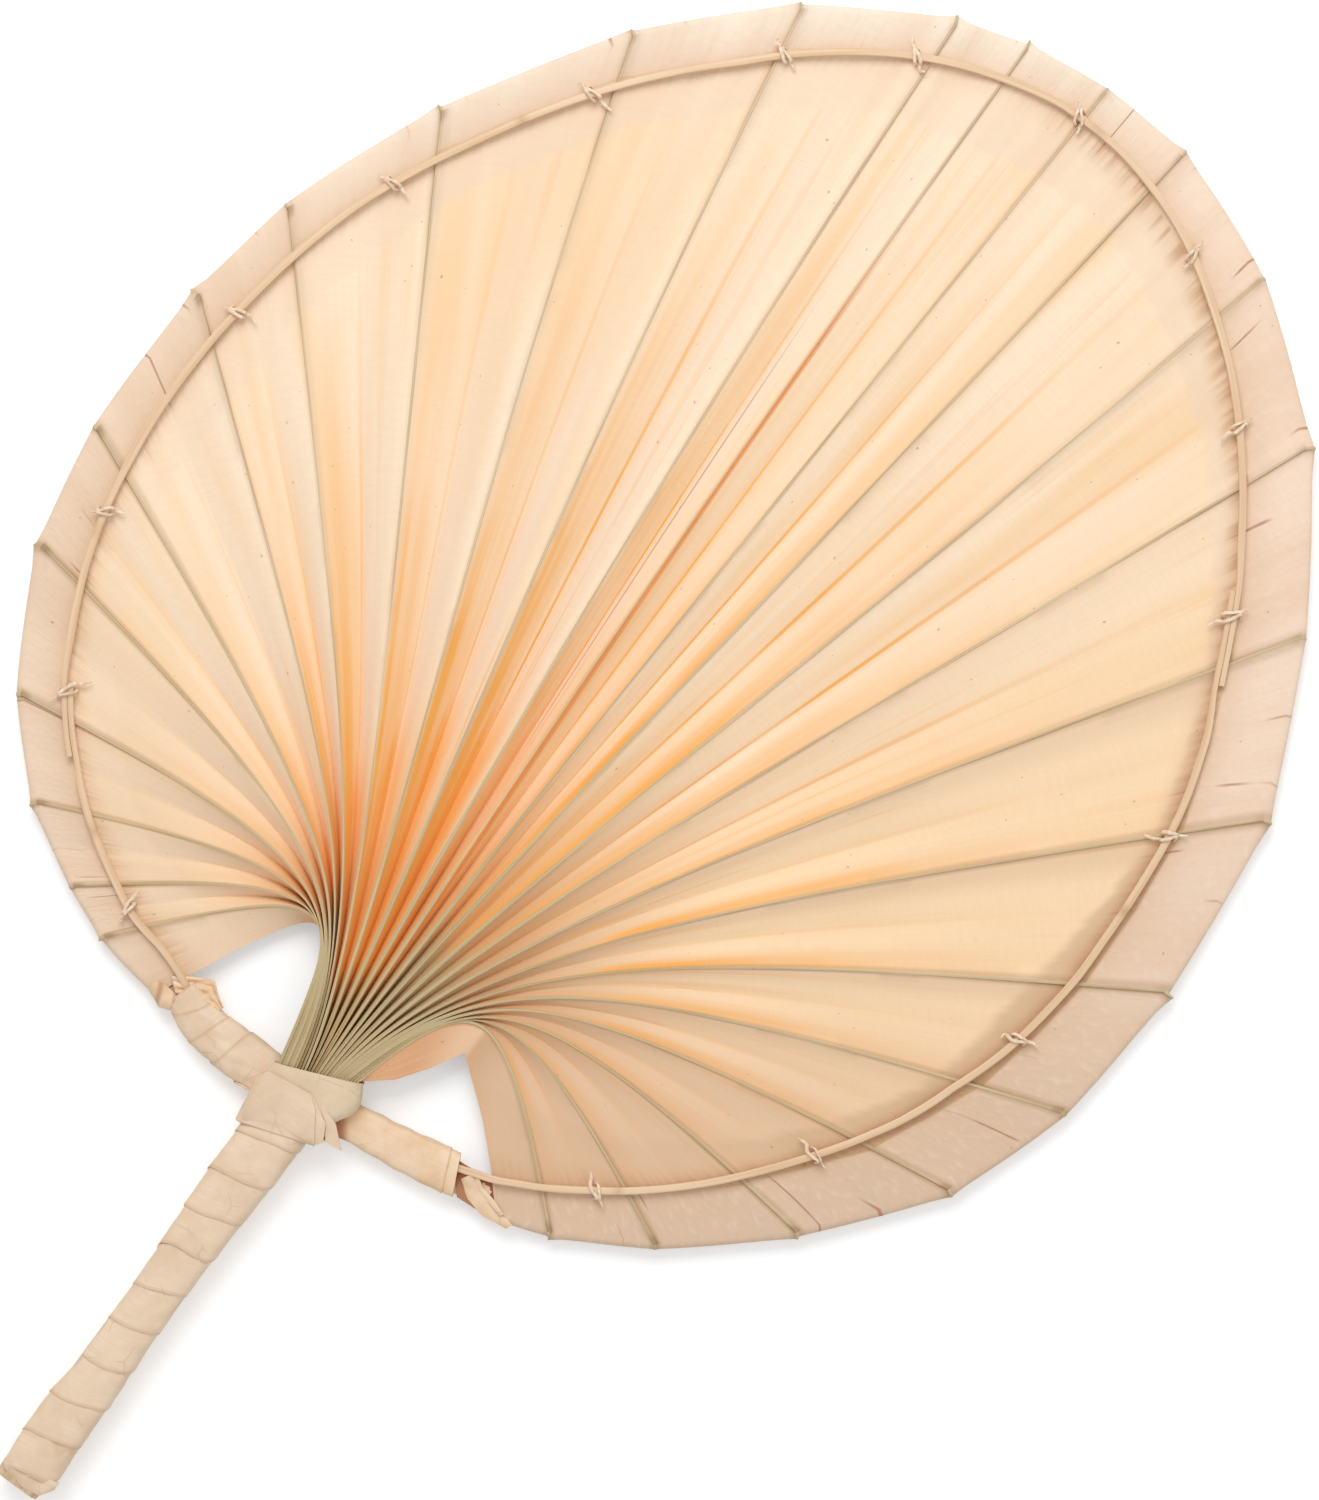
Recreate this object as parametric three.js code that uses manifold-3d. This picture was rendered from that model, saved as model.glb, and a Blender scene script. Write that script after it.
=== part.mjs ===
// Palm leaf fan: a pleated leaf folded over a bamboo hoop, stitched between splints, on a wrapped handle
import * as THREE from 'three';
import { mergeVertices } from 'three/addons/utils/BufferGeometryUtils.js';
import Module from 'manifold-3d';

const wasm = await Module();
wasm.setup();

// Millimetres. The fan lies face up: +X right, +Y from the handle to the leaf tip, +Z up.
// Outlines are laid out about the neck, where the pleats enter the binding.
const bladeWidth = 290;
const bladeLength = 302.5;
const neckDrop = 13;
const clearance = 0.3;

// Leaf
const leafThickness = 0.35;
const pleatDepth = 6;
const bundleWidth = 18.3;
const bundleHeight = 4.75;
const bundleTail = 8;
const neckRise = 4.1;
const flapDepth = 25.5;
const flapStep = 1.6;
const foldReach = 1.6;
const frontSteps = 22;
const turnSteps = 4;
const hoopSteps = 100;

// Hoop inside the folded rim
const hoopWidth = 5.6;
const hoopThickness = 1.6;
const hoopRimGap = 1.4;
const armCoreWidth = 7;
const armRimGap = 2;
const armTaper = 14;
const scarfLength = 15;
const scarfRamp = 2;

// Splints
const splintWidth = 2.2;
const splintThickness = 1.2;
const backSplintThickness = 1.8;
const backSplintSetback = 1;
const borderWidth = 20.5;
const splintTuck = 11;
const splintRise = 6;
const splintSweep = 14;
const lapRun = 14;
const notchDepth = 1.1;

// Thread ties
const threadRadius = 0.35;
const tailLength = 4.2;
const crossingGap = 1.15;
const tailSpread = 0.9;
const threadSides = 5;
const needleSides = 6;

// Bindings of the neck and the arms
const bindThickness = 0.5;
const cornerSteps = 3;
const neckRoom = 0.7;
const neckCentre = -0.1;
const neckCorner = 1.2;
const lowerBindDrop = 1;
const lowerBindLength = 5.5;
const lowerBindSlant = 3.2;
const lowerBindRoom = 0.7;
const lowerEndRoom = 0.93;
const armSectionSpread = 1;
const armSectionLift = 0.25;
const armRoundness = 4;
const armBindGap = 1.7;
const armStripWidth = 9.5;
const armStripStep = 1.06;
const armStripThickness = 0.4;
const leftArmTurns = 2.3;
const leftArmLength = 27;
const leftLeafGap = 4.1;
const windingSteps = 24;
const sleeveLength = 33;
const sleeveRings = 8;
const rimStripWidth = 3.6;
const rimStripTurns = 0.9;
const rimStripLength = 6.2;
const rimStripStart = 3;
const rimStripRoundness = 6;

// Handle
const handleEnd = -122.4;
const stickWidth = 11.8;
const stickThickness = 7.8;
const stickCorner = 2.6;
const stickAxisHeight = 6.65;
const shoulderGap = 0.5;
const tongueWidth = 11;
const tongueThickness = 1.85;
const tongueEnd = -3.2;
const handleStripWidth = 13;
const handleStripThickness = 0.4;
const handleStripStep = 1.05;
const handleStripPlay = 0.42;
const handleRoundness = 3;
const handleTurns = 8.6;
const handleButtReveal = 1.9;
const scrapWidth = 8.5;
const scrapLength = 5;
const scrapWave = 0.7;
const scrapFolds = 8;
const scrapSetback = 1.5;

// Plans of the lower band's front flap and of the neck's loose tail, up from the band's top, as shares of
// the band's width
const bindFlapShares = [[-0.49, -0.05], [-0.45, 0.3], [0.03, 0.35], [0.3, 0.21], [0.46, -0.08]];
const looseTailShares = [[0.09, 0.36], [0.32, 0.25], [0.72, 0.01], [0.5, 0.01], [0.34, 0.22]];

// The outline of the blade and its arms, once round from below the neck: shares of width and length
const outlineShares = [
  [0, -0.043], [-0.1, -0.0435], [-0.142, -0.0315], [-0.214, -0.018], [-0.324, 0.036], [-0.397, 0.109],
  [-0.448, 0.205],
  [-0.471, 0.331], [-0.464, 0.463], [-0.438, 0.579], [-0.386, 0.688], [-0.303, 0.813], [-0.2, 0.912],
  [-0.086, 0.975], [0.041, 1], [0.166, 0.985], [0.283, 0.926], [0.386, 0.83], [0.459, 0.717],
  [0.51, 0.605], [0.528, 0.463], [0.519, 0.321], [0.479, 0.215], [0.403, 0.122], [0.31, 0.043],
  [0.221, -0.003], [0.117, -0.0265], [0.05, -0.036],
];

// Where each of the 25 ridges meets the rim, as shares of the way round the outline
const ridgeShares = [
  0.065, 0.08, 0.103, 0.131, 0.169, 0.202, 0.244, 0.276, 0.322, 0.374, 0.417, 0.456, 0.475, 0.498,
  0.523, 0.561, 0.605, 0.653, 0.7, 0.75, 0.79, 0.825, 0.865, 0.901, 0.928,
];

// Rows of ridge number and the point (shares of length) that a fold leaves the bundle towards
const turnShares = [
  [-0.5, -0.066, 0.146], [0, -0.0645, 0.15], [8, -0.042, 0.146], [11, -0.0165, 0.159], [13, 0.0035, 0.182],
  [16, 0.03, 0.179], [19, 0.053, 0.165], [22, 0.0645, 0.155], [24, 0.0645, 0.152], [24.5, 0.077, 0.044],
];
// Rows of ridge number, the point that a fold comes in from the rim towards, and how far it keeps to that
const aimShares = [
  [-0.5, -0.064, 0.146, 0.9], [0, -0.063, 0.15, 0.9], [5, -0.064, 0.146, 0.9], [7, -0.073, 0.149, 0.76],
  [9, -0.093, 0.172, 0.62], [11, -0.05, 0.172, 0.62], [13, 0.0065, 0.172, 0.62], [15, 0.05, 0.165, 0.62],
  [17, 0.063, 0.19, 0.62], [19, 0.07, 0.182, 0.85], [21, 0.0695, 0.165, 0.9], [24, 0.066, 0.152, 0.9],
  [24.5, 0.072, 0.165, 0.9],
];
const neckHoldShare = 0.9;
// Rows of the share of a fold's run from the neck, pleat depth, and height of the leaf above the rim
const pleatShares = [
  [0, 0.4, 1], [0.05, 0.4, 1], [0.14, 0.75, 0.98], [0.3, 1, 0.75], [0.45, 0.92, 0.5], [0.6, 0.7, 0.28],
  [0.75, 0.4, 0.1], [0.87, 0.14, 0], [1, 0.14, 0],
];
const thickShare = 0.65;
// The stepped cut of the folded-back ends, from pleat to pleat
const flapStepShares = [0, 0.6, 0.2, 1, 0.4, -0.3, 0.7, 0.1, -0.6];

// Rows of the share of the way round and where the splint lies there, from the hoop to the border's width
const splintShares = [
  [0.066, 0.21], [0.1, 0.39], [0.16, 0.45], [0.24, 0.3], [0.34, 0.33], [0.4, 0.44], [0.45, 0.3],
  [0.49, 0.2], [0.51, 0.27], [0.56, 0.56], [0.62, 0.79], [0.69, 1], [0.76, 1], [0.81, 1.14],
  [0.84, 1], [0.88, 0.7], [0.92, 0.44], [0.946, 0.18],
];
const mainSplintShares = [0.113, 0.668];
const leftSplintEndShare = 0.134;
const rightSplintStartShare = 0.643;
const backButtShare = 0.49;
const splintSteps = 110;
const tieShares = [
  0.068, 0.132, 0.184, 0.248, 0.302, 0.359, 0.412, 0.448, 0.496, 0.547, 0.597, 0.65, 0.715, 0.785,
  0.857, 0.918,
];

// Heights, from the back splint's flat underside up
const flapHeight = backSplintThickness + clearance + leafThickness / 2;
const hoopBottom = flapHeight + leafThickness / 2 + clearance;
const hoopTop = hoopBottom + hoopThickness;
const hoopMiddle = hoopBottom + hoopThickness / 2;
const rimValleyHeight = hoopTop + clearance + leafThickness / 2;
const rimPleatDepth = pleatShares.at(-1)[1] * pleatDepth;
const rimHeight = rimValleyHeight + rimPleatDepth / 2;
const splintBottom = rimHeight + rimPleatDepth / 2 + leafThickness / 2 + clearance;
const splintTop = splintBottom + splintThickness;
const armSplintBottom = hoopTop + clearance;
const tongueBottom = hoopTop + clearance;
const bundleBottom = tongueBottom + tongueThickness + clearance;
const neckHeight = bundleBottom + bundleHeight / 2;

function readShares(rows, key) {
  if (key <= rows[0][0]) return rows[0].slice(1);
  for (let i = 1; i < rows.length; i += 1) {
    if (key > rows[i][0]) continue;
    const t = (key - rows[i - 1][0]) / (rows[i][0] - rows[i - 1][0]);
    return rows[i].slice(1).map((value, k) => THREE.MathUtils.lerp(rows[i - 1][k + 1], value, t));
  }
  return rows.at(-1).slice(1);
}

// Closed geometry from points and triangles, turned so that its faces point out
function closedGeometry(points, triangles) {
  const position = new Float32Array(points.flatMap((p) => [p.x, p.y, p.z]));
  let volume = 0;
  for (const [a, b, c] of triangles) {
    volume += points[a].dot(new THREE.Vector3().crossVectors(points[b], points[c]));
  }
  const faces = volume > 0 ? triangles : triangles.map(([a, b, c]) => [a, c, b]);
  const geometry = new THREE.BufferGeometry();
  geometry.setAttribute('position', new THREE.BufferAttribute(position, 3));
  geometry.setIndex(faces.flat());
  return geometry;
}

// Runs a convex section, or one section for each frame, along frames: a place and two directions across
function sweep(frames, section) {
  const points = [];
  const triangles = [];
  const sectionAt = (i) => (Array.isArray(section[0][0]) ? section[i] : section);
  const n = sectionAt(0).length;
  frames.forEach((frame, i) => {
    for (const [a, b] of sectionAt(i)) {
      points.push(frame.at.clone().addScaledVector(frame.across, a).addScaledVector(frame.up, b));
    }
  });
  for (let i = 0; i + 1 < frames.length; i += 1) {
    for (let j = 0; j < n; j += 1) {
      const p = i * n + j;
      const q = i * n + ((j + 1) % n);
      triangles.push([p, q, q + n], [p, q + n, p + n]);
    }
  }
  const last = (frames.length - 1) * n;
  for (let j = 1; j + 1 < n; j += 1) {
    triangles.push([0, j + 1, j], [last, last + j, last + j + 1]);
  }
  return closedGeometry(points, triangles);
}

function rectangle(width, bottom, top) {
  return [[-width / 2, bottom], [width / 2, bottom], [width / 2, top], [-width / 2, top]];
}

function plain(geometry) {
  const copy = geometry.clone();
  copy.deleteAttribute('normal');
  copy.deleteAttribute('uv');
  return mergeVertices(copy, clearance / 1000);
}

function toSolid(geometry) {
  const merged = plain(geometry);
  return new wasm.Manifold(new wasm.Mesh({
    numProp: 3,
    vertProperties: new Float32Array(merged.attributes.position.array),
    triVerts: new Uint32Array(merged.index.array),
  }));
}

function fromSolid(solid) {
  const mesh = solid.getMesh();
  const geometry = new THREE.BufferGeometry();
  geometry.setAttribute('position', new THREE.BufferAttribute(new Float32Array(mesh.vertProperties), 3));
  geometry.setIndex(Array.from(mesh.triVerts));
  return geometry;
}

function cut(geometry, tools) {
  let solid = toSolid(geometry);
  for (const tool of tools) solid = solid.subtract(toSolid(tool));
  return fromSolid(solid);
}

const fan = new THREE.Group();

function addPiece(name, geometry, material) {
  const mesh = new THREE.Mesh(plain(geometry), material);
  mesh.name = name;
  fan.add(mesh);
}

function strawMaterial(colour, roughness) {
  return new THREE.MeshStandardMaterial({ color: colour, roughness, metalness: 0 });
}

const leafMaterial = strawMaterial(0xf4dcb6, 0.62);
const stripMaterial = strawMaterial(0xdcc4a2, 0.6);
const splintMaterial = strawMaterial(0xdcb88a, 0.5);
const hoopMaterial = strawMaterial(0xcfae7c, 0.55);
const threadMaterial = strawMaterial(0xe9cdb0, 0.8);
const woodMaterial = strawMaterial(0xe6c9a4, 0.6);

// The rim as a closed curve that passes below the neck, and places measured inward from it
const outline = new THREE.CatmullRomCurve3(
  outlineShares.map(([x, y]) => (
    new THREE.Vector3(x * bladeWidth, (y - outlineShares[0][1]) * bladeLength - neckDrop, 0)
  )),
  true,
  'centripetal',
);
outline.arcLengthDivisions = 1200;
const outlineLength = outline.getLength();

// The neck and its two bands, and the stick's shoulder clear of the bundle's tail and of the hoop
const neckHalfWidth = bundleWidth / 2 + neckRoom;
const lowerHalfWidth = neckHalfWidth + lowerBindRoom;
const hoopLine = armRimGap - neckDrop;
const lowerBindTop = hoopLine - lowerBindDrop;
const lowerBindEnd = lowerBindTop - lowerBindLength;
const upperBindEnd = lowerBindTop + clearance;
const tailLine = -bundleTail - (neckRise * stickWidth) / bundleWidth;
const stickShoulder = Math.min(tailLine, hoopLine) - shoulderGap;
const handleWrapReach = handleStripPlay + handleStripStep + handleStripThickness;

// The two arms, from the neck out, and where the leaf takes over from each, as shares of the way round
const armStart = (neckHalfWidth + bindThickness + armBindGap + clearance) / outlineLength;
const leftArmEnd = armStart + leftArmLength / outlineLength;
const rightArmEnd = 1 - armStart - sleeveLength / outlineLength;
const leftLeafStart = leftArmEnd + leftLeafGap / outlineLength;
const rightLeafEnd = rightArmEnd - (rimStripStart + rimStripLength + clearance) / outlineLength;
const armCentre = armRimGap + armCoreWidth / 2;

function wrapShare(share) {
  return share - Math.floor(share);
}

function inward(share) {
  const tangent = outline.getTangentAt(wrapShare(share));
  return new THREE.Vector3(tangent.y, -tangent.x, 0);
}

function rimPoint(share, inset, height) {
  const point = outline.getPointAt(wrapShare(share)).addScaledVector(inward(share), inset);
  point.z = height;
  return point;
}

function rimFrame(share, inset, height) {
  return { at: rimPoint(share, inset, height), across: inward(share), up: new THREE.Vector3(0, 0, 1) };
}

// A fold of the leaf in plan: out of the bundle, round its turn and on to the rim
function rimShareOf(ridge) {
  if (ridge < 0) return leftLeafStart;
  if (ridge > ridgeShares.length - 1) return rightLeafEnd;
  const low = Math.floor(ridge);
  const high = Math.min(low + 1, ridgeShares.length - 1);
  return THREE.MathUtils.lerp(ridgeShares[low], ridgeShares[high], ridge - low);
}

function foldCurve(ridge) {
  const across = (ridge + 0.5) / ridgeShares.length;
  const start = new THREE.Vector2(
    neckCentre + (across - 0.5) * bundleWidth,
    2 * (across - 0.5) * neckRise,
  );
  const rim = rimPoint(rimShareOf(ridge), foldReach, 0);
  const end = new THREE.Vector2(rim.x, rim.y);
  const [turnX, turnY] = readShares(turnShares, ridge);
  const [aimX, aimY, hold] = readShares(aimShares, ridge);
  const turn = new THREE.Vector2(turnX * bladeLength, turnY * bladeLength);
  const aim = new THREE.Vector2(aimX * bladeLength, aimY * bladeLength);
  return new THREE.CubicBezierCurve(
    start,
    start.clone().lerp(turn, neckHoldShare),
    end.clone().lerp(aim, hold),
    end,
  );
}

// The leaf: a sheet over every fold, from the bundle's tail to the rim, round the hoop and back
function leafBlade() {
  const foldCount = 2 * ridgeShares.length + 1;
  const plan = [];
  for (let i = 0; i < foldCount; i += 1) {
    const curve = foldCurve(i / 2 - 0.5);
    const row = [];
    for (let j = 0; j <= frontSteps; j += 1) row.push(curve.getPoint(j / frontSteps));
    plan.push(row);
  }
  const outer = [];
  const inner = [];
  const stations = frontSteps + turnSteps + 3;
  for (let i = 0; i < foldCount; i += 1) {
    const ridge = i / 2 - 0.5;
    const side = i % 2 === 1 ? 0.5 : -0.5;
    const add = (x, y, z, direction, thickness) => {
      const middle = new THREE.Vector3(x, y, z);
      outer.push(middle.clone().addScaledVector(direction, thickness / 2));
      inner.push(middle.clone().addScaledVector(direction, -thickness / 2));
    };
    const up = new THREE.Vector3(0, 0, 1);
    let rimZ = rimHeight;
    for (let j = 0; j <= frontSteps; j += 1) {
      const before = plan[Math.max(i - 1, 0)][j];
      const after = plan[Math.min(i + 1, foldCount - 1)][j];
      const spans = i === 0 || i === foldCount - 1 ? 1 : 2;
      const halfPleat = Math.max(before.distanceTo(after) / spans, leafThickness / 2);
      const [depth, lift] = readShares(pleatShares, j / frontSteps);
      const fall = depth * pleatDepth;
      const steep = leafThickness * Math.hypot(1, fall / halfPleat);
      const thickness = Math.min(steep, thickShare * fall + leafThickness / 2);
      const middle = rimHeight + (neckHeight - rimHeight) * lift;
      const z = middle + side * fall;
      if (j === 0) add(plan[i][0].x, plan[i][0].y - bundleTail, z, up, thickness);
      add(plan[i][j].x, plan[i][j].y, z, up, thickness);
      rimZ = z;
    }
    const share = rimShareOf(ridge);
    const into = inward(share);
    const reach = foldReach - leafThickness / 2;
    for (let j = 1; j <= turnSteps; j += 1) {
      const angle = (j / turnSteps) * Math.PI;
      const at = rimPoint(share, foldReach - reach * Math.sin(angle), 0);
      const z = (rimZ + flapHeight) / 2 + ((rimZ - flapHeight) / 2) * Math.cos(angle);
      const direction = into.clone().multiplyScalar(-Math.sin(angle)).addScaledVector(up, Math.cos(angle));
      add(at.x, at.y, z, direction, leafThickness);
    }
    const depth = flapDepth + flapStep * flapStepShares[Math.floor(i / 2) % flapStepShares.length];
    const tip = rimPoint(share, depth, 0);
    add(tip.x, tip.y, flapHeight, up.clone().negate(), leafThickness);
  }
  const points = [...outer, ...inner];
  const under = outer.length;
  const triangles = [];
  const quad = (a, b, c, d) => triangles.push([a, b, c], [a, c, d]);
  for (let i = 0; i + 1 < foldCount; i += 1) {
    for (let j = 0; j + 1 < stations; j += 1) {
      const p = i * stations + j;
      const q = p + stations;
      quad(p, q, q + 1, p + 1);
      quad(under + p, under + p + 1, under + q + 1, under + q);
    }
    const tail = i * stations;
    const tip = tail + stations - 1;
    quad(tail, under + tail, under + tail + stations, tail + stations);
    quad(tip, tip + stations, under + tip + stations, under + tip);
  }
  const lastFold = (foldCount - 1) * stations;
  for (let j = 0; j + 1 < stations; j += 1) {
    quad(j, j + 1, under + j + 1, under + j);
    quad(lastFold + j, under + lastFold + j, under + lastFold + j + 1, lastFold + j + 1);
  }
  return cut(closedGeometry(points, triangles), needleHoles());
}

// The holes that each tie's thread passes down and up through
function needleHoles() {
  const radius = threadRadius + clearance;
  const holes = [];
  for (const share of tieShares) {
    for (const side of [-1, 1]) {
      const hole = new THREE.CylinderGeometry(radius, radius, splintTop, needleSides);
      const at = rimPoint(share, splintInset(share) + side * tieReachAt(share), splintTop / 2);
      hole.rotateX(Math.PI / 2);
      hole.translate(at.x, at.y, at.z);
      holes.push(hole);
    }
  }
  return holes;
}

// The hoop: one bamboo strip with thinned ends that lap under the bundle
function hoopWidthAt(share) {
  const intoArm = Math.max(leftArmEnd - share, share - rightArmEnd) * outlineLength + rimStripStart;
  const taper = 1 - THREE.MathUtils.smoothstep(intoArm, 0, armTaper);
  return {
    width: THREE.MathUtils.lerp(armCoreWidth, hoopWidth, taper),
    rimGap: THREE.MathUtils.lerp(armRimGap, hoopRimGap, taper),
  };
}

function rimHoop() {
  const lap = scarfLength / 2 / outlineLength;
  const thinEnd = lap + clearance / outlineLength;
  const fullFrom = thinEnd + scarfRamp / outlineLength;
  const places = [-lap, 0, thinEnd];
  for (let i = 0; i <= hoopSteps; i += 1) {
    places.push(THREE.MathUtils.lerp(fullFrom, 1 - fullFrom, i / hoopSteps));
  }
  places.push(1 - thinEnd, 1, 1 + lap);
  const thin = (hoopThickness - clearance) / 2;
  const frames = [];
  const sections = [];
  for (const share of places) {
    const { width, rimGap } = hoopWidthAt(THREE.MathUtils.clamp(share, 0, 1));
    const top = share <= thinEnd ? hoopBottom + thin : hoopTop;
    const bottom = share >= 1 - thinEnd ? hoopTop - thin : hoopBottom;
    frames.push(rimFrame(share, rimGap + width / 2, 0));
    sections.push(rectangle(width, bottom, top));
  }
  return sweep(frames, sections);
}

// Splints: bamboo strips along the rim, lapped side by side where two meet
function splintInset(share) {
  const fromArm = Math.min(share - leftArmEnd, rightArmEnd - share) * outlineLength;
  const onLeaf = THREE.MathUtils.smoothstep(fromArm, -splintTuck, splintSweep);
  const [across] = readShares(splintShares, share);
  const inset = THREE.MathUtils.lerp(hoopRimGap + hoopWidth, borderWidth, across);
  return THREE.MathUtils.lerp(armCentre, inset, onLeaf);
}

function nearLap(share, lap) {
  const run = lapRun / outlineLength;
  const into = THREE.MathUtils.smoothstep(share, lap[0] - run, lap[0]);
  return into * (1 - THREE.MathUtils.smoothstep(share, lap[1], lap[1] + run));
}

const firstLap = [mainSplintShares[0], leftSplintEndShare];
const secondLap = [rightSplintStartShare, mainSplintShares[1]];
const lapShift = (splintWidth + clearance) / 2;
const leftTuck = leftArmEnd - splintTuck / outlineLength;
const rightTuck = rightArmEnd + splintTuck / outlineLength;
const backStart = leftLeafStart + backSplintSetback / outlineLength;
const backButt = backButtShare + clearance / outlineLength;
const backEnd = rightLeafEnd - backSplintSetback / outlineLength;

function splintHeight(share) {
  const fromArm = Math.min(share - leftArmEnd, rightArmEnd - share) * outlineLength;
  const risen = THREE.MathUtils.clamp(fromArm / splintRise, 0, 1);
  return THREE.MathUtils.lerp(armSplintBottom, splintBottom, risen);
}

function frontSplint(from, to, firstSide, secondSide) {
  const steps = Math.ceil((to - from) * splintSteps);
  const frames = [];
  for (let i = 0; i <= steps; i += 1) {
    const share = THREE.MathUtils.lerp(from, to, i / steps);
    const aside = firstSide * nearLap(share, firstLap) + secondSide * nearLap(share, secondLap);
    frames.push(rimFrame(share, splintInset(share) + lapShift * aside, splintHeight(share)));
  }
  return sweep(frames, rectangle(splintWidth, 0, splintThickness));
}

function backSplint(from, to) {
  const steps = Math.ceil((to - from) * splintSteps);
  const frames = [];
  for (let i = 0; i <= steps; i += 1) {
    const share = THREE.MathUtils.lerp(from, to, i / steps);
    frames.push(rimFrame(share, splintInset(share), 0));
  }
  const strip = sweep(frames, rectangle(splintWidth, 0, backSplintThickness));
  const notches = tieShares.filter((share) => share > from && share < to).map((share) => {
    const width = 2 * (threadRadius + clearance);
    const notch = new THREE.BoxGeometry(width, 2 * splintWidth, 2 * notchDepth);
    const { at, across } = rimFrame(share, splintInset(share), 0);
    notch.rotateZ(Math.atan2(across.y, across.x) - Math.PI / 2);
    notch.translate(at.x, at.y, 0);
    return notch;
  });
  return cut(strip, notches);
}

// A tie: one thread over the front splint, through the leaf, under the back splint and over again
function tieReachAt(share) {
  const lapped = nearLap(share, firstLap) + nearLap(share, secondLap) > 0.5;
  const halfWidth = lapped ? lapShift + splintWidth / 2 : splintWidth / 2;
  return halfWidth + clearance + threadRadius;
}

function threadTie(share) {
  const reach = tieReachAt(share);
  const tailZ = splintBottom + threadRadius;
  const topZ = splintTop + clearance + threadRadius;
  const lowZ = splintBottom - clearance;
  const underZ = notchDepth - clearance - threadRadius;
  const gap = crossingGap;
  const bend = reach - threadRadius;
  const route = [
    [reach + tailLength, -gap - tailSpread, tailZ],
    [reach, -gap, tailZ],
    [reach, -gap, splintTop],
    [bend, -gap, topZ],
    [-bend, -gap / 2, topZ],
    [-reach, -gap / 2, splintTop],
    [-reach, 0, lowZ],
    [-reach, 0, flapHeight],
    [-bend, 0, underZ],
    [bend, 0, underZ],
    [reach, 0, flapHeight],
    [reach, 0, lowZ],
    [reach, gap / 4, splintTop],
    [bend, gap / 2, topZ],
    [-bend, gap, topZ],
    [-reach, gap, splintTop],
    [-reach, gap, tailZ],
    [-reach - tailLength / 2, gap + tailSpread, tailZ],
  ];
  const { at, across } = rimFrame(share, splintInset(share), 0);
  const along = new THREE.Vector3(-across.y, across.x, 0);
  const path = route.map(([a, b, z]) => {
    const point = at.clone().addScaledVector(across, a).addScaledVector(along, b);
    point.z = z;
    return point;
  });
  return threadTube(path);
}

// A thread along a path, its section kept from twisting
function threadTube(path) {
  const frames = [];
  let up = new THREE.Vector3(0, 0, 1);
  path.forEach((at, i) => {
    const before = path[Math.max(i - 1, 0)];
    const after = path[Math.min(i + 1, path.length - 1)];
    const along = after.clone().sub(before).normalize();
    up = up.clone().addScaledVector(along, -up.dot(along)).normalize();
    frames.push({ at, across: new THREE.Vector3().crossVectors(along, up), up });
  });
  const section = [];
  for (let i = 0; i < threadSides; i += 1) {
    const angle = (i / threadSides) * 2 * Math.PI;
    section.push([threadRadius * Math.cos(angle), threadRadius * Math.sin(angle)]);
  }
  return sweep(frames, section);
}

// A point on a rounded box: the more the roundness, the squarer the box
function roundedPoint({ at, across, up }, halfWidth, halfHeight, roundness, angle) {
  const round = (value) => Math.sign(value) * Math.abs(value) ** (2 / roundness);
  return at.clone()
    .addScaledVector(across, halfWidth * round(Math.sin(angle)))
    .addScaledVector(up, halfHeight * round(Math.cos(angle)));
}

// A flat strip wound round a rounded bar: each turn's first edge lies over the turn before
function winding(name, frameAt, shape) {
  const { halfWidth, halfHeight, roundness, length, width, thickness, step, turns } = shape;
  const pitch = (length - width) / turns;
  const place = (angle, edge, layer) => {
    const along = width / 2 + (pitch * angle) / (2 * Math.PI) + edge * width;
    const out = step * (0.5 - edge) + layer * thickness;
    return roundedPoint(frameAt(along), halfWidth + out, halfHeight + out, roundness, angle);
  };
  const steps = Math.round(turns * windingSteps);
  const points = [];
  const triangles = [];
  for (let i = 0; i <= steps; i += 1) {
    const angle = (i / windingSteps) * 2 * Math.PI;
    points.push(place(angle, -0.5, 0), place(angle, 0.5, 0), place(angle, 0.5, 1), place(angle, -0.5, 1));
  }
  for (let i = 0; i < steps; i += 1) {
    for (let j = 0; j < 4; j += 1) {
      const p = 4 * i + j;
      const q = 4 * i + ((j + 1) % 4);
      triangles.push([p, q, q + 4], [p, q + 4, p + 4]);
    }
  }
  const last = 4 * steps;
  triangles.push([0, 2, 1], [0, 3, 2], [last, last + 1, last + 2], [last, last + 2, last + 3]);
  if (turns > 1) {
    const gap = gapBetweenTurns(place, Math.max(0, 1 - pitch / width), steps);
    console.log(`${name}: least gap between turns ${gap.toFixed(2)} mm`);
  }
  return closedGeometry(points, triangles);
}

// The least gap from the underside of each turn's lap to the top of the turn under it
function gapBetweenTurns(place, lapShare, steps) {
  const samples = 4;
  let least = Infinity;
  for (let i = windingSteps; i <= steps; i += 1) {
    const angle = (i / windingSteps) * 2 * Math.PI;
    for (let j = 0; j <= samples; j += 1) {
      const over = place(angle, -0.5 + (lapShare * j) / samples, 0);
      const under = place(angle - 2 * Math.PI, 0.5 - (lapShare * (samples - j)) / samples, 1);
      least = Math.min(least, over.distanceTo(under));
    }
  }
  return least;
}

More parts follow.
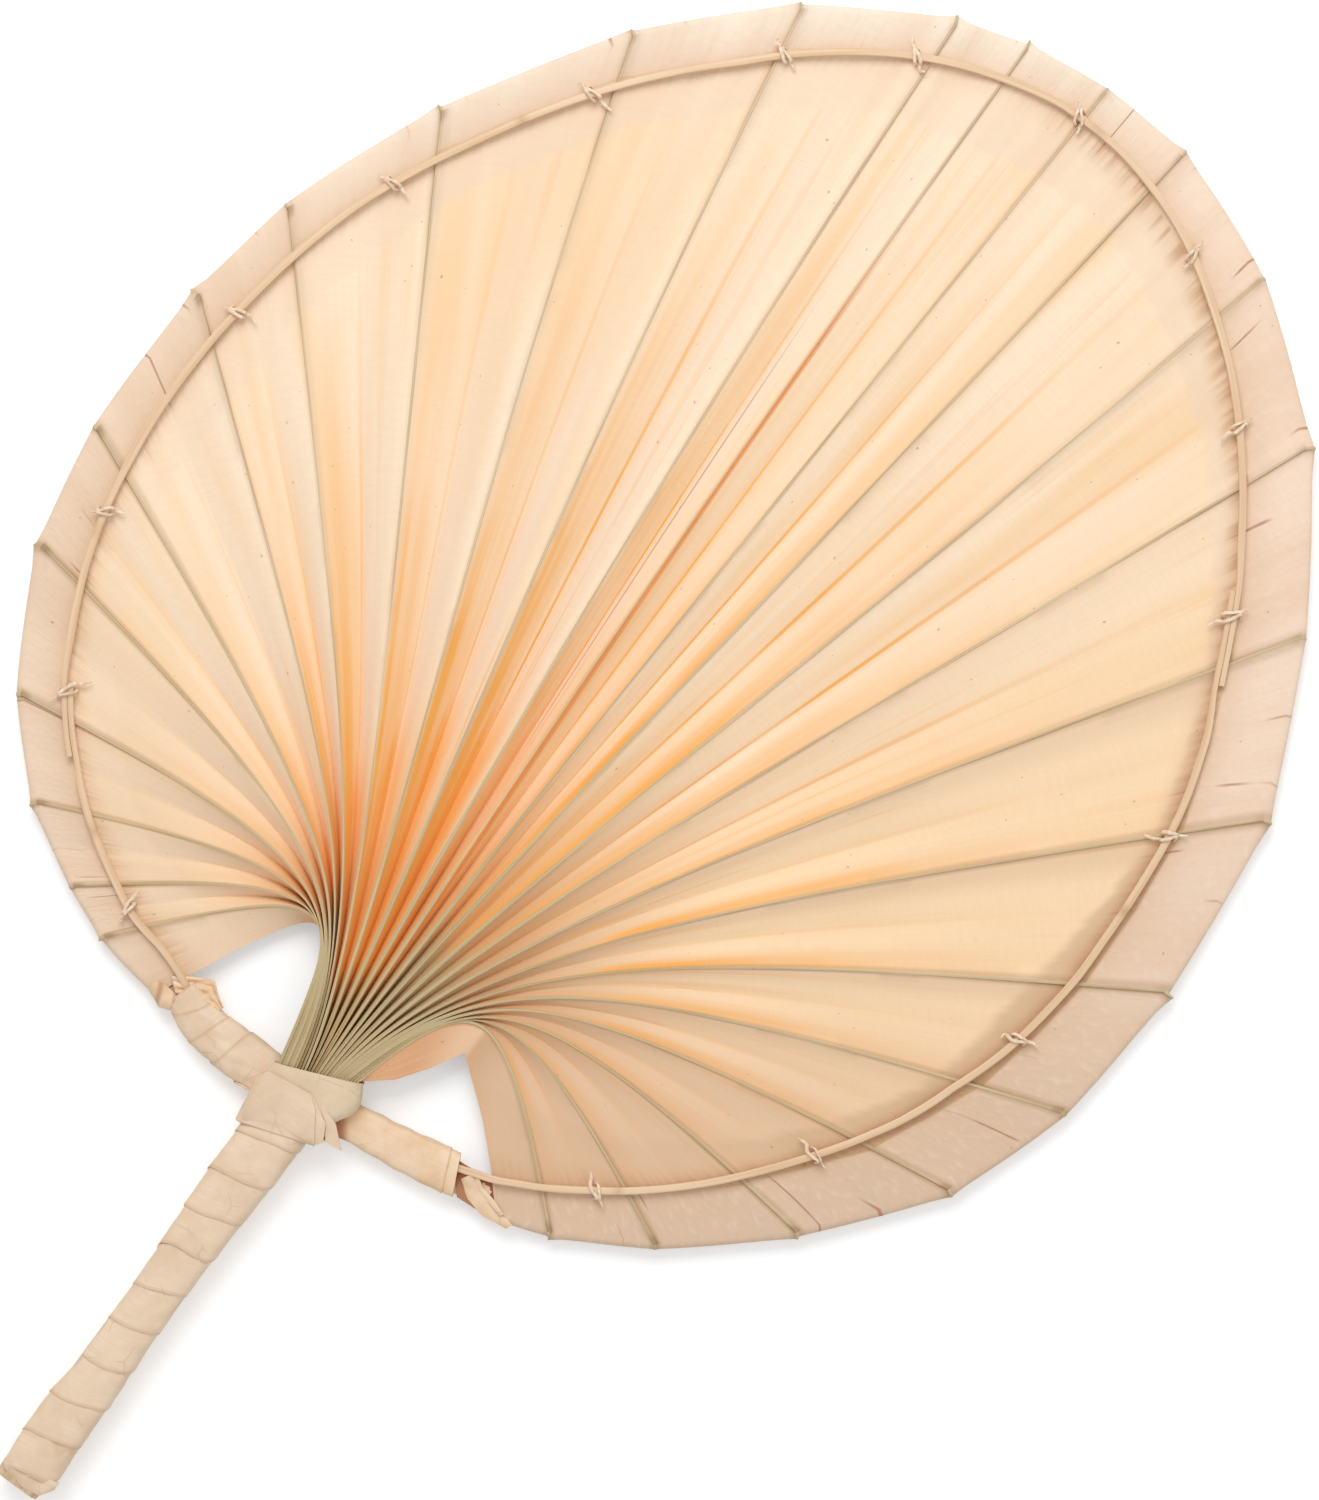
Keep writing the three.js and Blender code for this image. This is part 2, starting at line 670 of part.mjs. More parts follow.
// A band right round the neck, drawn as an outline with a hole and run along Y
function roundedPath(path, halfWidth, low, high, corner) {
  path.moveTo(-halfWidth + corner, low);
  path.lineTo(halfWidth - corner, low);
  path.absarc(halfWidth - corner, low + corner, corner, -Math.PI / 2, 0, false);
  path.absarc(halfWidth - corner, high - corner, corner, 0, Math.PI / 2, false);
  path.absarc(-halfWidth + corner, high - corner, corner, Math.PI / 2, Math.PI, false);
  path.absarc(-halfWidth + corner, low + corner, corner, Math.PI, 1.5 * Math.PI, false);
  return path;
}

function alongY(shape, from, to) {
  const geometry = new THREE.ExtrudeGeometry(shape, {
    depth: to - from,
    bevelEnabled: false,
    curveSegments: cornerSteps,
  });
  geometry.rotateX(Math.PI / 2);
  geometry.translate(0, to, 0);
  return geometry;
}

function band(halfWidth, low, high, from, to) {
  const wall = bindThickness;
  const shape = roundedPath(new THREE.Shape(), halfWidth + wall, low - wall, high + wall, neckCorner + wall);
  shape.holes.push(roundedPath(new THREE.Path(), halfWidth, low, high, neckCorner));
  return alongY(shape, from, to).translate(neckCentre, 0, 0);
}

function reshape(geometry, move) {
  const position = geometry.attributes.position;
  for (let i = 0; i < position.count; i += 1) {
    const [x, y] = move(position.getX(i), position.getY(i));
    position.setXY(i, x, y);
  }
  return geometry;
}

const neckLow = hoopBottom - clearance;
const neckHigh = bundleBottom + bundleHeight + clearance;
const lowerLow = stickAxisHeight - stickThickness / 2 - handleWrapReach - clearance;
const handleHigh = stickAxisHeight + stickThickness / 2 + handleWrapReach;
const lowerHigh = Math.max(neckHigh + bindThickness, handleHigh) + clearance;
const bindSpan = 2 * (lowerHalfWidth + bindThickness);

// A flat piece of strip on the front of the neck
function neckPlate(planShares) {
  const shape = new THREE.Shape(planShares.map(([x, y]) => (
    new THREE.Vector2(x * bindSpan, lowerBindTop + y * bindSpan)
  )));
  const geometry = new THREE.ExtrudeGeometry(shape, { depth: bindThickness, bevelEnabled: false });
  return geometry.translate(0, 0, lowerHigh);
}

function upperNeckBinding() {
  const sleeve = reshape(
    band(neckHalfWidth, neckLow, neckHigh, upperBindEnd, 0),
    (x, y) => [x, y + (1 - y / upperBindEnd) * neckRise * ((x - neckCentre) / neckHalfWidth)],
  );
  const reach = (2 * neckHalfWidth) / outlineLength;
  const frames = [-1, -0.5, 0, 0.5, 1].map((side) => rimFrame(side * reach, armCentre, 0));
  const passage = rectangle(armCoreWidth + 2 * armBindGap, hoopBottom - clearance / 2, hoopTop + clearance);
  return cut(sleeve, [sweep(frames, passage)]);
}

function lowerNeckBinding() {
  const endHalfWidth = stickWidth / 2 + handleWrapReach + lowerEndRoom;
  const sleeve = reshape(
    band(lowerHalfWidth, lowerLow, lowerHigh, lowerBindEnd, lowerBindTop),
    (x, y) => {
      const down = (lowerBindTop - y) / lowerBindLength;
      const narrowed = THREE.MathUtils.lerp(1, endHalfWidth / lowerHalfWidth, down);
      const slant = (down * lowerBindSlant * (x - neckCentre)) / lowerHalfWidth;
      return [neckCentre + (x - neckCentre) * narrowed, y + slant];
    },
  );
  return fromSolid(toSolid(sleeve).add(toSolid(neckPlate(bindFlapShares))));
}

const armHeight = (neckLow + armSplintBottom + splintThickness + clearance) / 2;
const armHalfWidth = armCoreWidth / 2 + armSectionSpread;
const armHalfHeight = armHeight - neckLow + armSectionLift;

function armFrame(share) {
  return rimFrame(share, armCentre, armHeight);
}

function leftArmBinding() {
  return winding('left_arm_wrap', (along) => armFrame(armStart + along / outlineLength), {
    halfWidth: armHalfWidth,
    halfHeight: armHalfHeight,
    roundness: armRoundness,
    length: leftArmLength,
    width: armStripWidth,
    thickness: armStripThickness,
    step: armStripStep,
    turns: leftArmTurns,
  });
}

// The right arm's sleeve: one tube wall from an outer and an inner rounded section
function rightArmSleeve() {
  const sides = windingSteps;
  const rings = sleeveRings;
  const points = [];
  const triangles = [];
  for (let i = 0; i <= rings; i += 1) {
    const frame = armFrame(THREE.MathUtils.lerp(1 - armStart, rightArmEnd, i / rings));
    for (const wall of [0, bindThickness]) {
      for (let j = 0; j < sides; j += 1) {
        const angle = (j / sides) * 2 * Math.PI;
        points.push(roundedPoint(frame, armHalfWidth + wall, armHalfHeight + wall, armRoundness, angle));
      }
    }
  }
  const quad = (a, b, c, d) => triangles.push([a, b, c], [a, c, d]);
  for (let j = 0; j < sides; j += 1) {
    const k = (j + 1) % sides;
    for (let i = 0; i < rings; i += 1) {
      const p = i * 2 * sides;
      const q = p + 2 * sides;
      quad(p + j, q + j, q + k, p + k);
      quad(p + sides + j, p + sides + k, q + sides + k, q + sides + j);
    }
    const end = rings * 2 * sides;
    quad(j, k, sides + k, sides + j);
    quad(end + j, end + sides + j, end + sides + k, end + k);
  }
  return closedGeometry(points, triangles);
}

// The leaf's last narrow strip, twisted round the hoop between the sleeve and the leaf
function rimStrip() {
  const start = rightArmEnd - rimStripStart / outlineLength;
  const { width, rimGap } = hoopWidthAt(start - rimStripLength / 2 / outlineLength);
  const centre = rimGap + width / 2;
  return winding('right_rim_strip', (along) => rimFrame(start - along / outlineLength, centre, hoopMiddle), {
    halfWidth: width / 2 + clearance,
    halfHeight: hoopThickness / 2 + clearance,
    roundness: rimStripRoundness,
    length: rimStripLength,
    width: rimStripWidth,
    thickness: leafThickness,
    step: 0,
    turns: rimStripTurns,
  });
}

// The strip's crumpled end, which stands out of the left arm's binding
function leftScrap() {
  const start = leftArmEnd - (scrapWidth + scrapSetback) / outlineLength;
  const windingFace = armCentre + armHalfWidth + armStripStep + armStripThickness;
  const frames = [];
  for (let i = 0; i <= scrapFolds; i += 1) {
    const share = start + ((i / scrapFolds) * scrapWidth) / outlineLength;
    const wave = (i % 2 ? scrapWave : -scrapWave) / 2;
    frames.push(rimFrame(share, windingFace + clearance + scrapLength / 2, armHeight + wave));
  }
  return sweep(frames, rectangle(scrapLength, 0, leafThickness));
}

// The handle's stick, halved at the top into a tongue that lies between the hoop and the bundle
function handleStick() {
  const half = stickThickness / 2;
  const body = roundedPath(
    new THREE.Shape(),
    stickWidth / 2,
    stickAxisHeight - half,
    stickAxisHeight + half,
    stickCorner,
  );
  const tongue = new THREE.Shape();
  tongue.moveTo(-tongueWidth / 2, tongueBottom);
  tongue.lineTo(tongueWidth / 2, tongueBottom);
  tongue.lineTo(tongueWidth / 2, tongueBottom + tongueThickness);
  tongue.lineTo(-tongueWidth / 2, tongueBottom + tongueThickness);
  const solid = toSolid(alongY(body, handleEnd, stickShoulder))
    .add(toSolid(alongY(tongue, stickShoulder - tongueWidth, tongueEnd)));
  return fromSolid(solid);
}

function handleBinding() {
  const start = handleEnd + handleButtReveal;
  const up = new THREE.Vector3(0, 0, 1);
  const across = new THREE.Vector3(1, 0, 0);
  return winding('handle_wrap', (along) => (
    { at: new THREE.Vector3(0, start + along, stickAxisHeight), across, up }
  ), {
    halfWidth: stickWidth / 2 + handleStripPlay,
    halfHeight: stickThickness / 2 + handleStripPlay,
    roundness: handleRoundness,
    length: lowerBindTop - start,
    width: handleStripWidth,
    thickness: handleStripThickness,
    step: handleStripStep,
    turns: handleTurns,
  });
}

addPiece('leaf_blade', leafBlade(), leafMaterial);
addPiece('rim_hoop', rimHoop(), hoopMaterial);
addPiece('front_splint_left', frontSplint(leftTuck, leftSplintEndShare, -1, 0), splintMaterial);
addPiece('front_splint_main', frontSplint(...mainSplintShares, 1, -1), splintMaterial);
addPiece('front_splint_right', frontSplint(rightSplintStartShare, rightTuck, 0, 1), splintMaterial);
addPiece('back_splint_left', backSplint(backStart, backButtShare), splintMaterial);
addPiece('back_splint_right', backSplint(backButt, backEnd), splintMaterial);
tieShares.forEach((share, i) => {
  addPiece(`stitch_${String(i + 1).padStart(2, '0')}`, threadTie(share), threadMaterial);
});
addPiece('left_arm_wrap', leftArmBinding(), stripMaterial);
addPiece('left_strip_end', leftScrap(), leafMaterial);
addPiece('right_arm_wrap', rightArmSleeve(), stripMaterial);
addPiece('right_rim_strip', rimStrip(), leafMaterial);
addPiece('neck_wrap_upper', upperNeckBinding(), stripMaterial);
addPiece('neck_wrap_lower', lowerNeckBinding(), stripMaterial);
addPiece('neck_tail', neckPlate(looseTailShares), stripMaterial);
addPiece('handle_stick', handleStick(), woodMaterial);
addPiece('handle_wrap', handleBinding(), stripMaterial);

// The whole fan stands over the middle of its outline, with the back splint's underside on the ground
const bounds = new THREE.Box3().setFromObject(fan);
const middle = bounds.getCenter(new THREE.Vector3());
fan.position.set(-middle.x, -middle.y, -bounds.min.z);

export default fan;
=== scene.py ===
import math
import random
from functools import partial

import bpy
import numpy as np
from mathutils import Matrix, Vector, noise


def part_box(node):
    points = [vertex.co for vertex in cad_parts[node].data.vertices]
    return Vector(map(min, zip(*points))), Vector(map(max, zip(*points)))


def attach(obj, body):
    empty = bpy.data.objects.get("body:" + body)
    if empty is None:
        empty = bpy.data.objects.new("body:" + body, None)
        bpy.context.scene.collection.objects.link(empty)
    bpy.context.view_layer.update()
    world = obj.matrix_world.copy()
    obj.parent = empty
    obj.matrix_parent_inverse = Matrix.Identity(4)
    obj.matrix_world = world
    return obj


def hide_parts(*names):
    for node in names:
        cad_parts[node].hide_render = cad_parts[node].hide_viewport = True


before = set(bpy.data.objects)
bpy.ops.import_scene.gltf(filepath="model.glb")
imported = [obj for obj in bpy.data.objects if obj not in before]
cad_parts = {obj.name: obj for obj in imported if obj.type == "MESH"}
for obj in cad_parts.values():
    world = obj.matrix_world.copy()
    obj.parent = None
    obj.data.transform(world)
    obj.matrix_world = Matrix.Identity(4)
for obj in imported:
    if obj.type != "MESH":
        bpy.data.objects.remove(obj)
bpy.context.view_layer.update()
random.seed(11)
print("frame loaded:", len(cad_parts), "nodes")


# Measures. The fan is drawn in millimetres about its neck: X to the right, Y up the blade, Z out of the
# front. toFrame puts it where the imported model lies, in metres.

stickLow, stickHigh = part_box("handle_stick")
handleReach = 122.4  # from the middle of the neck down to the cut end
neckX = (stickLow.x + stickHigh.x) / 2
neckY = stickLow.y + handleReach / 1000


def toFrame(points):
    points = np.asarray(points, dtype=float)
    return points / 1000 + np.array((neckX, neckY, 0))


def heights(node):
    low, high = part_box(node)
    return low.z * 1000, high.z * 1000


hoopLow, hoopHigh = heights("rim_hoop")
splintLow, splintHigh = heights("front_splint_main")
backHigh = heights("back_splint_left")[1]
bandHigh = heights("neck_wrap_upper")[1]

blade = {
    "width": 290,
    "length": 302.5,
    "neckDrop": 13,  # the rim passes this far below the neck
    "pleatDepth": 6,
    "thickness": 0.28,  # of the midribs
    "skinShare": 0.15,  # how much of it the leaf between them has
    "foldReach": 1.6,  # how far the fold stands outside the hoop
    "flapDepth": 25.5,
    "flapStep": 1.6,
    "flapTear": 1.6,  # how ragged the flap's edge is
    "rimHeight": (hoopHigh + splintLow) / 2,
    "flapHeight": (backHigh + hoopLow) / 2,
    "mapStep": 20,  # one unit of the leaf's map, along the pleats
    "rows": 116,
    "turnRows": 10,
    "flapRows": 16,
}
bundle = {
    "width": 18.3,
    "height": 4.75,
    "cover": 0.8,  # the upper band and its room above the bundle
    "rise": 4.1,
    "tail": 8,
    "centre": -0.1,
    "hold": 0.9,
}
bundle["middle"] = bandHigh - bundle["cover"] - bundle["height"] / 2
rib = {
    "hubWidth": 0.74,
    "rimWidth": 0.38,
    "lowWiden": 1.4,
    "rise": 0.12,
    "edge": 0.16,
    "sink": 0.9,
    "openAt": 8.5,  # the ridge about which the ribs stand apart at the neck
    "openWidth": 1.9,
    "packed": 0.8,  # most of half a pleat that a rib may take, here and where the ribs stand apart
    "packedOpen": 0.52,
}

# The rim's outline from the neck round by the left, in shares of the blade's width and length
outlineShares = [
    (0, -0.043), (-0.1, -0.0435), (-0.142, -0.0315), (-0.214, -0.018), (-0.324, 0.036), (-0.397, 0.109),
    (-0.448, 0.205), (-0.471, 0.331), (-0.464, 0.463), (-0.438, 0.579), (-0.386, 0.688), (-0.303, 0.813),
    (-0.2, 0.912), (-0.086, 0.975), (0.041, 1), (0.166, 0.985), (0.283, 0.926), (0.386, 0.83),
    (0.459, 0.717), (0.51, 0.605), (0.528, 0.463), (0.519, 0.321), (0.479, 0.215), (0.403, 0.122),
    (0.31, 0.043), (0.221, -0.003), (0.117, -0.0265), (0.05, -0.036),
]
# Where each ridge meets the rim, in shares of the way round it
ridgeShares = [
    0.065, 0.08, 0.103, 0.131, 0.169, 0.202, 0.244, 0.276, 0.322, 0.374, 0.417, 0.456, 0.475, 0.498,
    0.523, 0.561, 0.605, 0.653, 0.7, 0.75, 0.79, 0.825, 0.865, 0.901, 0.928,
]
# For each ridge, the point it runs to from the bundle, in shares of the blade's length
turnShares = [
    (-0.5, -0.066, 0.146), (0, -0.0645, 0.15), (8, -0.042, 0.146), (11, -0.0165, 0.159), (13, 0.0035, 0.182),
    (16, 0.03, 0.179), (19, 0.053, 0.165), (22, 0.0645, 0.155), (24, 0.0645, 0.152), (24.5, 0.077, 0.044),
]
# For each ridge, the point that its outer end aims back to, and how much of the way its curve is drawn there
aimShares = [
    (-0.5, -0.064, 0.146, 0.9), (0, -0.063, 0.15, 0.9), (5, -0.064, 0.146, 0.9), (7, -0.073, 0.149, 0.76),
    (9, -0.093, 0.172, 0.62), (11, -0.05, 0.172, 0.62), (13, 0.0065, 0.172, 0.62), (15, 0.05, 0.165, 0.62),
    (17, 0.063, 0.19, 0.62), (19, 0.07, 0.182, 0.85), (21, 0.0695, 0.165, 0.9), (24, 0.066, 0.152, 0.9),
    (24.5, 0.072, 0.165, 0.9),
]
# From neck to rim, how deep the pleats are, and how much of the bundle's height they keep
pleatShares = [
    (0, 0.5, 1), (0.05, 0.45, 1), (0.14, 0.5, 0.98), (0.3, 0.72, 0.75), (0.45, 0.78, 0.5), (0.6, 0.6, 0.28),
    (0.75, 0.4, 0.1), (0.87, 0.14, 0), (1, 0.14, 0),
]
# How the flap's edge steps from pleat to pleat
flapStepShares = [0, 0.6, 0.2, 1, 0.4, -0.3, 0.7, 0.1, -0.6]
# Round the rim, how far the splints lie in from the hoop, as a share of their widest border
splintShares = [
    (0.066, 0.21), (0.1, 0.39), (0.16, 0.45), (0.24, 0.3), (0.34, 0.33), (0.4, 0.44), (0.45, 0.3),
    (0.49, 0.2), (0.51, 0.27), (0.56, 0.56), (0.62, 0.79), (0.69, 1), (0.76, 1), (0.81, 1.14),
    (0.84, 1), (0.88, 0.7), (0.92, 0.44), (0.946, 0.18),
]
tieShares = [
    0.068, 0.132, 0.184, 0.248, 0.302, 0.359, 0.412, 0.448, 0.496, 0.547, 0.597, 0.65, 0.715, 0.785,
    0.857, 0.918,
]


# The row of a table at a key, between its neighbours
def readShares(rows, key):
    keys = [row[0] for row in rows]
    return [float(np.interp(key, keys, [row[k] for row in rows])) for k in range(1, len(rows[0]))]


def lerp(a, b, t):
    return a + (b - a) * t


def smoothStep(value, low, high):
    t = min(max((value - low) / (high - low), 0), 1)
    return t * t * (3 - 2 * t)


# The length walked from the first point of a line to each of its points
def runAlong(points):
    return np.concatenate(([0], np.cumsum(np.linalg.norm(np.diff(points, axis=0), axis=1))))


def uneven(size, *place):
    return size * noise.noise(Vector(place))


# The rim: a smooth closed curve through the outline's points, walked by length

def rimCurve(stepsPerPoint=60):
    drop = outlineShares[0][1] * blade["length"] + blade["neckDrop"]
    points = [np.array((x * blade["width"], y * blade["length"] - drop)) for x, y in outlineShares]
    count = len(points)
    walked = []
    for i in range(count):
        before, start, end, after = (points[(i + k) % count] for k in (-1, 0, 1, 2))
        gaps = [math.sqrt(np.linalg.norm(b - a)) for a, b in ((before, start), (start, end), (end, after))]
        leave = (start - before) / gaps[0] - (end - before) / (gaps[0] + gaps[1]) + (end - start) / gaps[1]
        arrive = (end - start) / gaps[1] - (after - start) / (gaps[1] + gaps[2]) + (after - end) / gaps[2]
        leave, arrive = leave * gaps[1], arrive * gaps[1]
        for t in np.linspace(0, 1, stepsPerPoint, endpoint=False):
            bend = (-3 * start + 3 * end - 2 * leave - arrive) * t ** 2
            bend += (2 * start - 2 * end + leave + arrive) * t ** 3
            walked.append(start + leave * t + bend)
    walked.append(walked[0])
    return np.array(walked)


rimPoints = rimCurve()
rimRun = runAlong(rimPoints)
rimLength = rimRun[-1]


# A point of the rim, with the ways into the blade and along the rim
def rimAt(share, inset=0.0):
    at = (share % 1) * rimLength
    here, ahead, behind = (
        np.array([np.interp((at + step) % rimLength, rimRun, rimPoints[:, k]) for k in range(2)])
        for step in (0, 0.5, -0.5)
    )
    tangent = ahead - behind
    tangent /= np.linalg.norm(tangent)
    into = np.array((tangent[1], -tangent[0]))
    return here + into * inset, into, tangent


arms = {
    "start": 12.35,  # from the middle of the neck to the first turn
    "leftLength": 27,
    "rightLength": 33,
    "leftLeafGap": 4.1,
    "rightLeafGap": 9.5,
    "centre": 5.5,
    "height": 4.3,
    "halfHeight": 2.1,
}
leftArmEnd = (arms["start"] + arms["leftLength"]) / rimLength
rightArmEnd = 1 - (arms["start"] + arms["rightLength"]) / rimLength
leftLeafStart = leftArmEnd + arms["leftLeafGap"] / rimLength
rightLeafEnd = rightArmEnd - arms["rightLeafGap"] / rimLength


splints = {
    "width": 2.2,
    "shown": 0.82,
    "border": 20.5,
    "hoopEdge": 7,
    "tuck": 11,  # how far the splints run on into the arms' windings
    "sweep": 14,
    "rise": 6,
    "lapRun": 14,
    "lapWidth": 0.76,
    "rightShift": 1.6,
    "backGap": 0.3,
    "setback": 1,
    "stepsRound": 420,
    "jointStart": 70,
    "jointStep": 145,
}
mainSplint = (0.113, 0.668)
leftSplintEnd = 0.134
rightSplintStart = 0.643
backButt = 0.49
lapShift = splints["width"] * splints["shown"] * splints["lapWidth"] / 2 + 0.02


def fromArms(share):
    return min(share - leftArmEnd, rightArmEnd - share) * rimLength


def splintInset(share):
    onLeaf = smoothStep(fromArms(share), -splints["tuck"], splints["sweep"])
    inset = lerp(splints["hoopEdge"], splints["border"], readShares(splintShares, share)[0])
    return lerp(arms["centre"] + (splints["rightShift"] if share > 0.5 else 0), inset, onLeaf)


# The leaf

def rimShareOf(ridge):
    count = len(ridgeShares)
    places = [-0.5, *range(count), count - 0.5]
    return float(np.interp(ridge, places, [leftLeafStart, *ridgeShares, rightLeafEnd]))


# The last half pleat hangs down beside the bundle, then turns a corner and lies flat to the rim
lobe = {
    "edge": [(15.7, 9.5), (21.1, 17), (25.2, 24.3)],
    "strip": [(31.5, 19.2), (38.2, 13.8), (46.8, 5.5), (52.3, -0.6)],
}


def lobePlan(start, end, rows):
    plan = []
    for points in ([start, *lobe["edge"]], [lobe["edge"][-1], *lobe["strip"], end]):
        line = np.array([tuple(point) for point in points], dtype=float)
        run = runAlong(line)
        at = np.linspace(0, run[-1], rows // 2 + 1)
        plan.append(np.column_stack([np.interp(at, run, line[:, k]) for k in range(2)]))
    return np.vstack((plan[0], plan[1][1:]))


# One fold of the leaf seen from the front: a curve out of the bundle that swings to its place on the rim
def foldPlan(ridge, rows):
    across = (ridge + 0.5) / len(ridgeShares) - 0.5
    start = np.array((bundle["centre"] + across * bundle["width"], 2 * across * bundle["rise"]))
    end = rimAt(rimShareOf(ridge), blade["foldReach"])[0]
    if ridge > len(ridgeShares) - 1:
        return lobePlan(start, end, rows)
    turn = np.array(readShares(turnShares, ridge)) * blade["length"]
    aimX, aimY, hold = readShares(aimShares, ridge)
    first = lerp(start, turn, bundle["hold"])
    second = lerp(end, np.array((aimX, aimY)) * blade["length"], hold)
    t = np.linspace(0, 1, rows + 1)[:, None]
    return (1 - t) ** 3 * start + 3 * (1 - t) ** 2 * t * first + 3 * (1 - t) * t ** 2 * second + t ** 3 * end


columnShares = (0, 0.12, 0.4, 0.75)  # from a valley to the foot of the rib


# Where the columns of half a pleat lie; at the neck some ribs stand apart, with dark gaps between them
def pleatPlaces(halfPleat, run, ridge):
    low = max(smoothStep(ridge, 16.5, 20), 1 - smoothStep(ridge, 4, 6.5))
    half = lerp(rib["hubWidth"], rib["rimWidth"], smoothStep(run, 0.22, 0.6)) / 2
    half *= lerp(1, rib["lowWiden"], low)
    opened = math.exp(-((ridge - rib["openAt"]) / rib["openWidth"]) ** 2)
    packed = lerp(rib["packed"], rib["packedOpen"], opened)
    crest = 1 - min(packed, half / halfPleat)
    foot = min(1 - min(packed + 0.07, (half + rib["edge"]) / halfPleat), crest - 0.02)
    return [share * foot for share in columnShares] + [foot, crest, 1]


# What the leaf's material reads at each point of it
leafFacts = ("rib", "run", "rimGap", "splintGap", "flapReach", "lapLine")


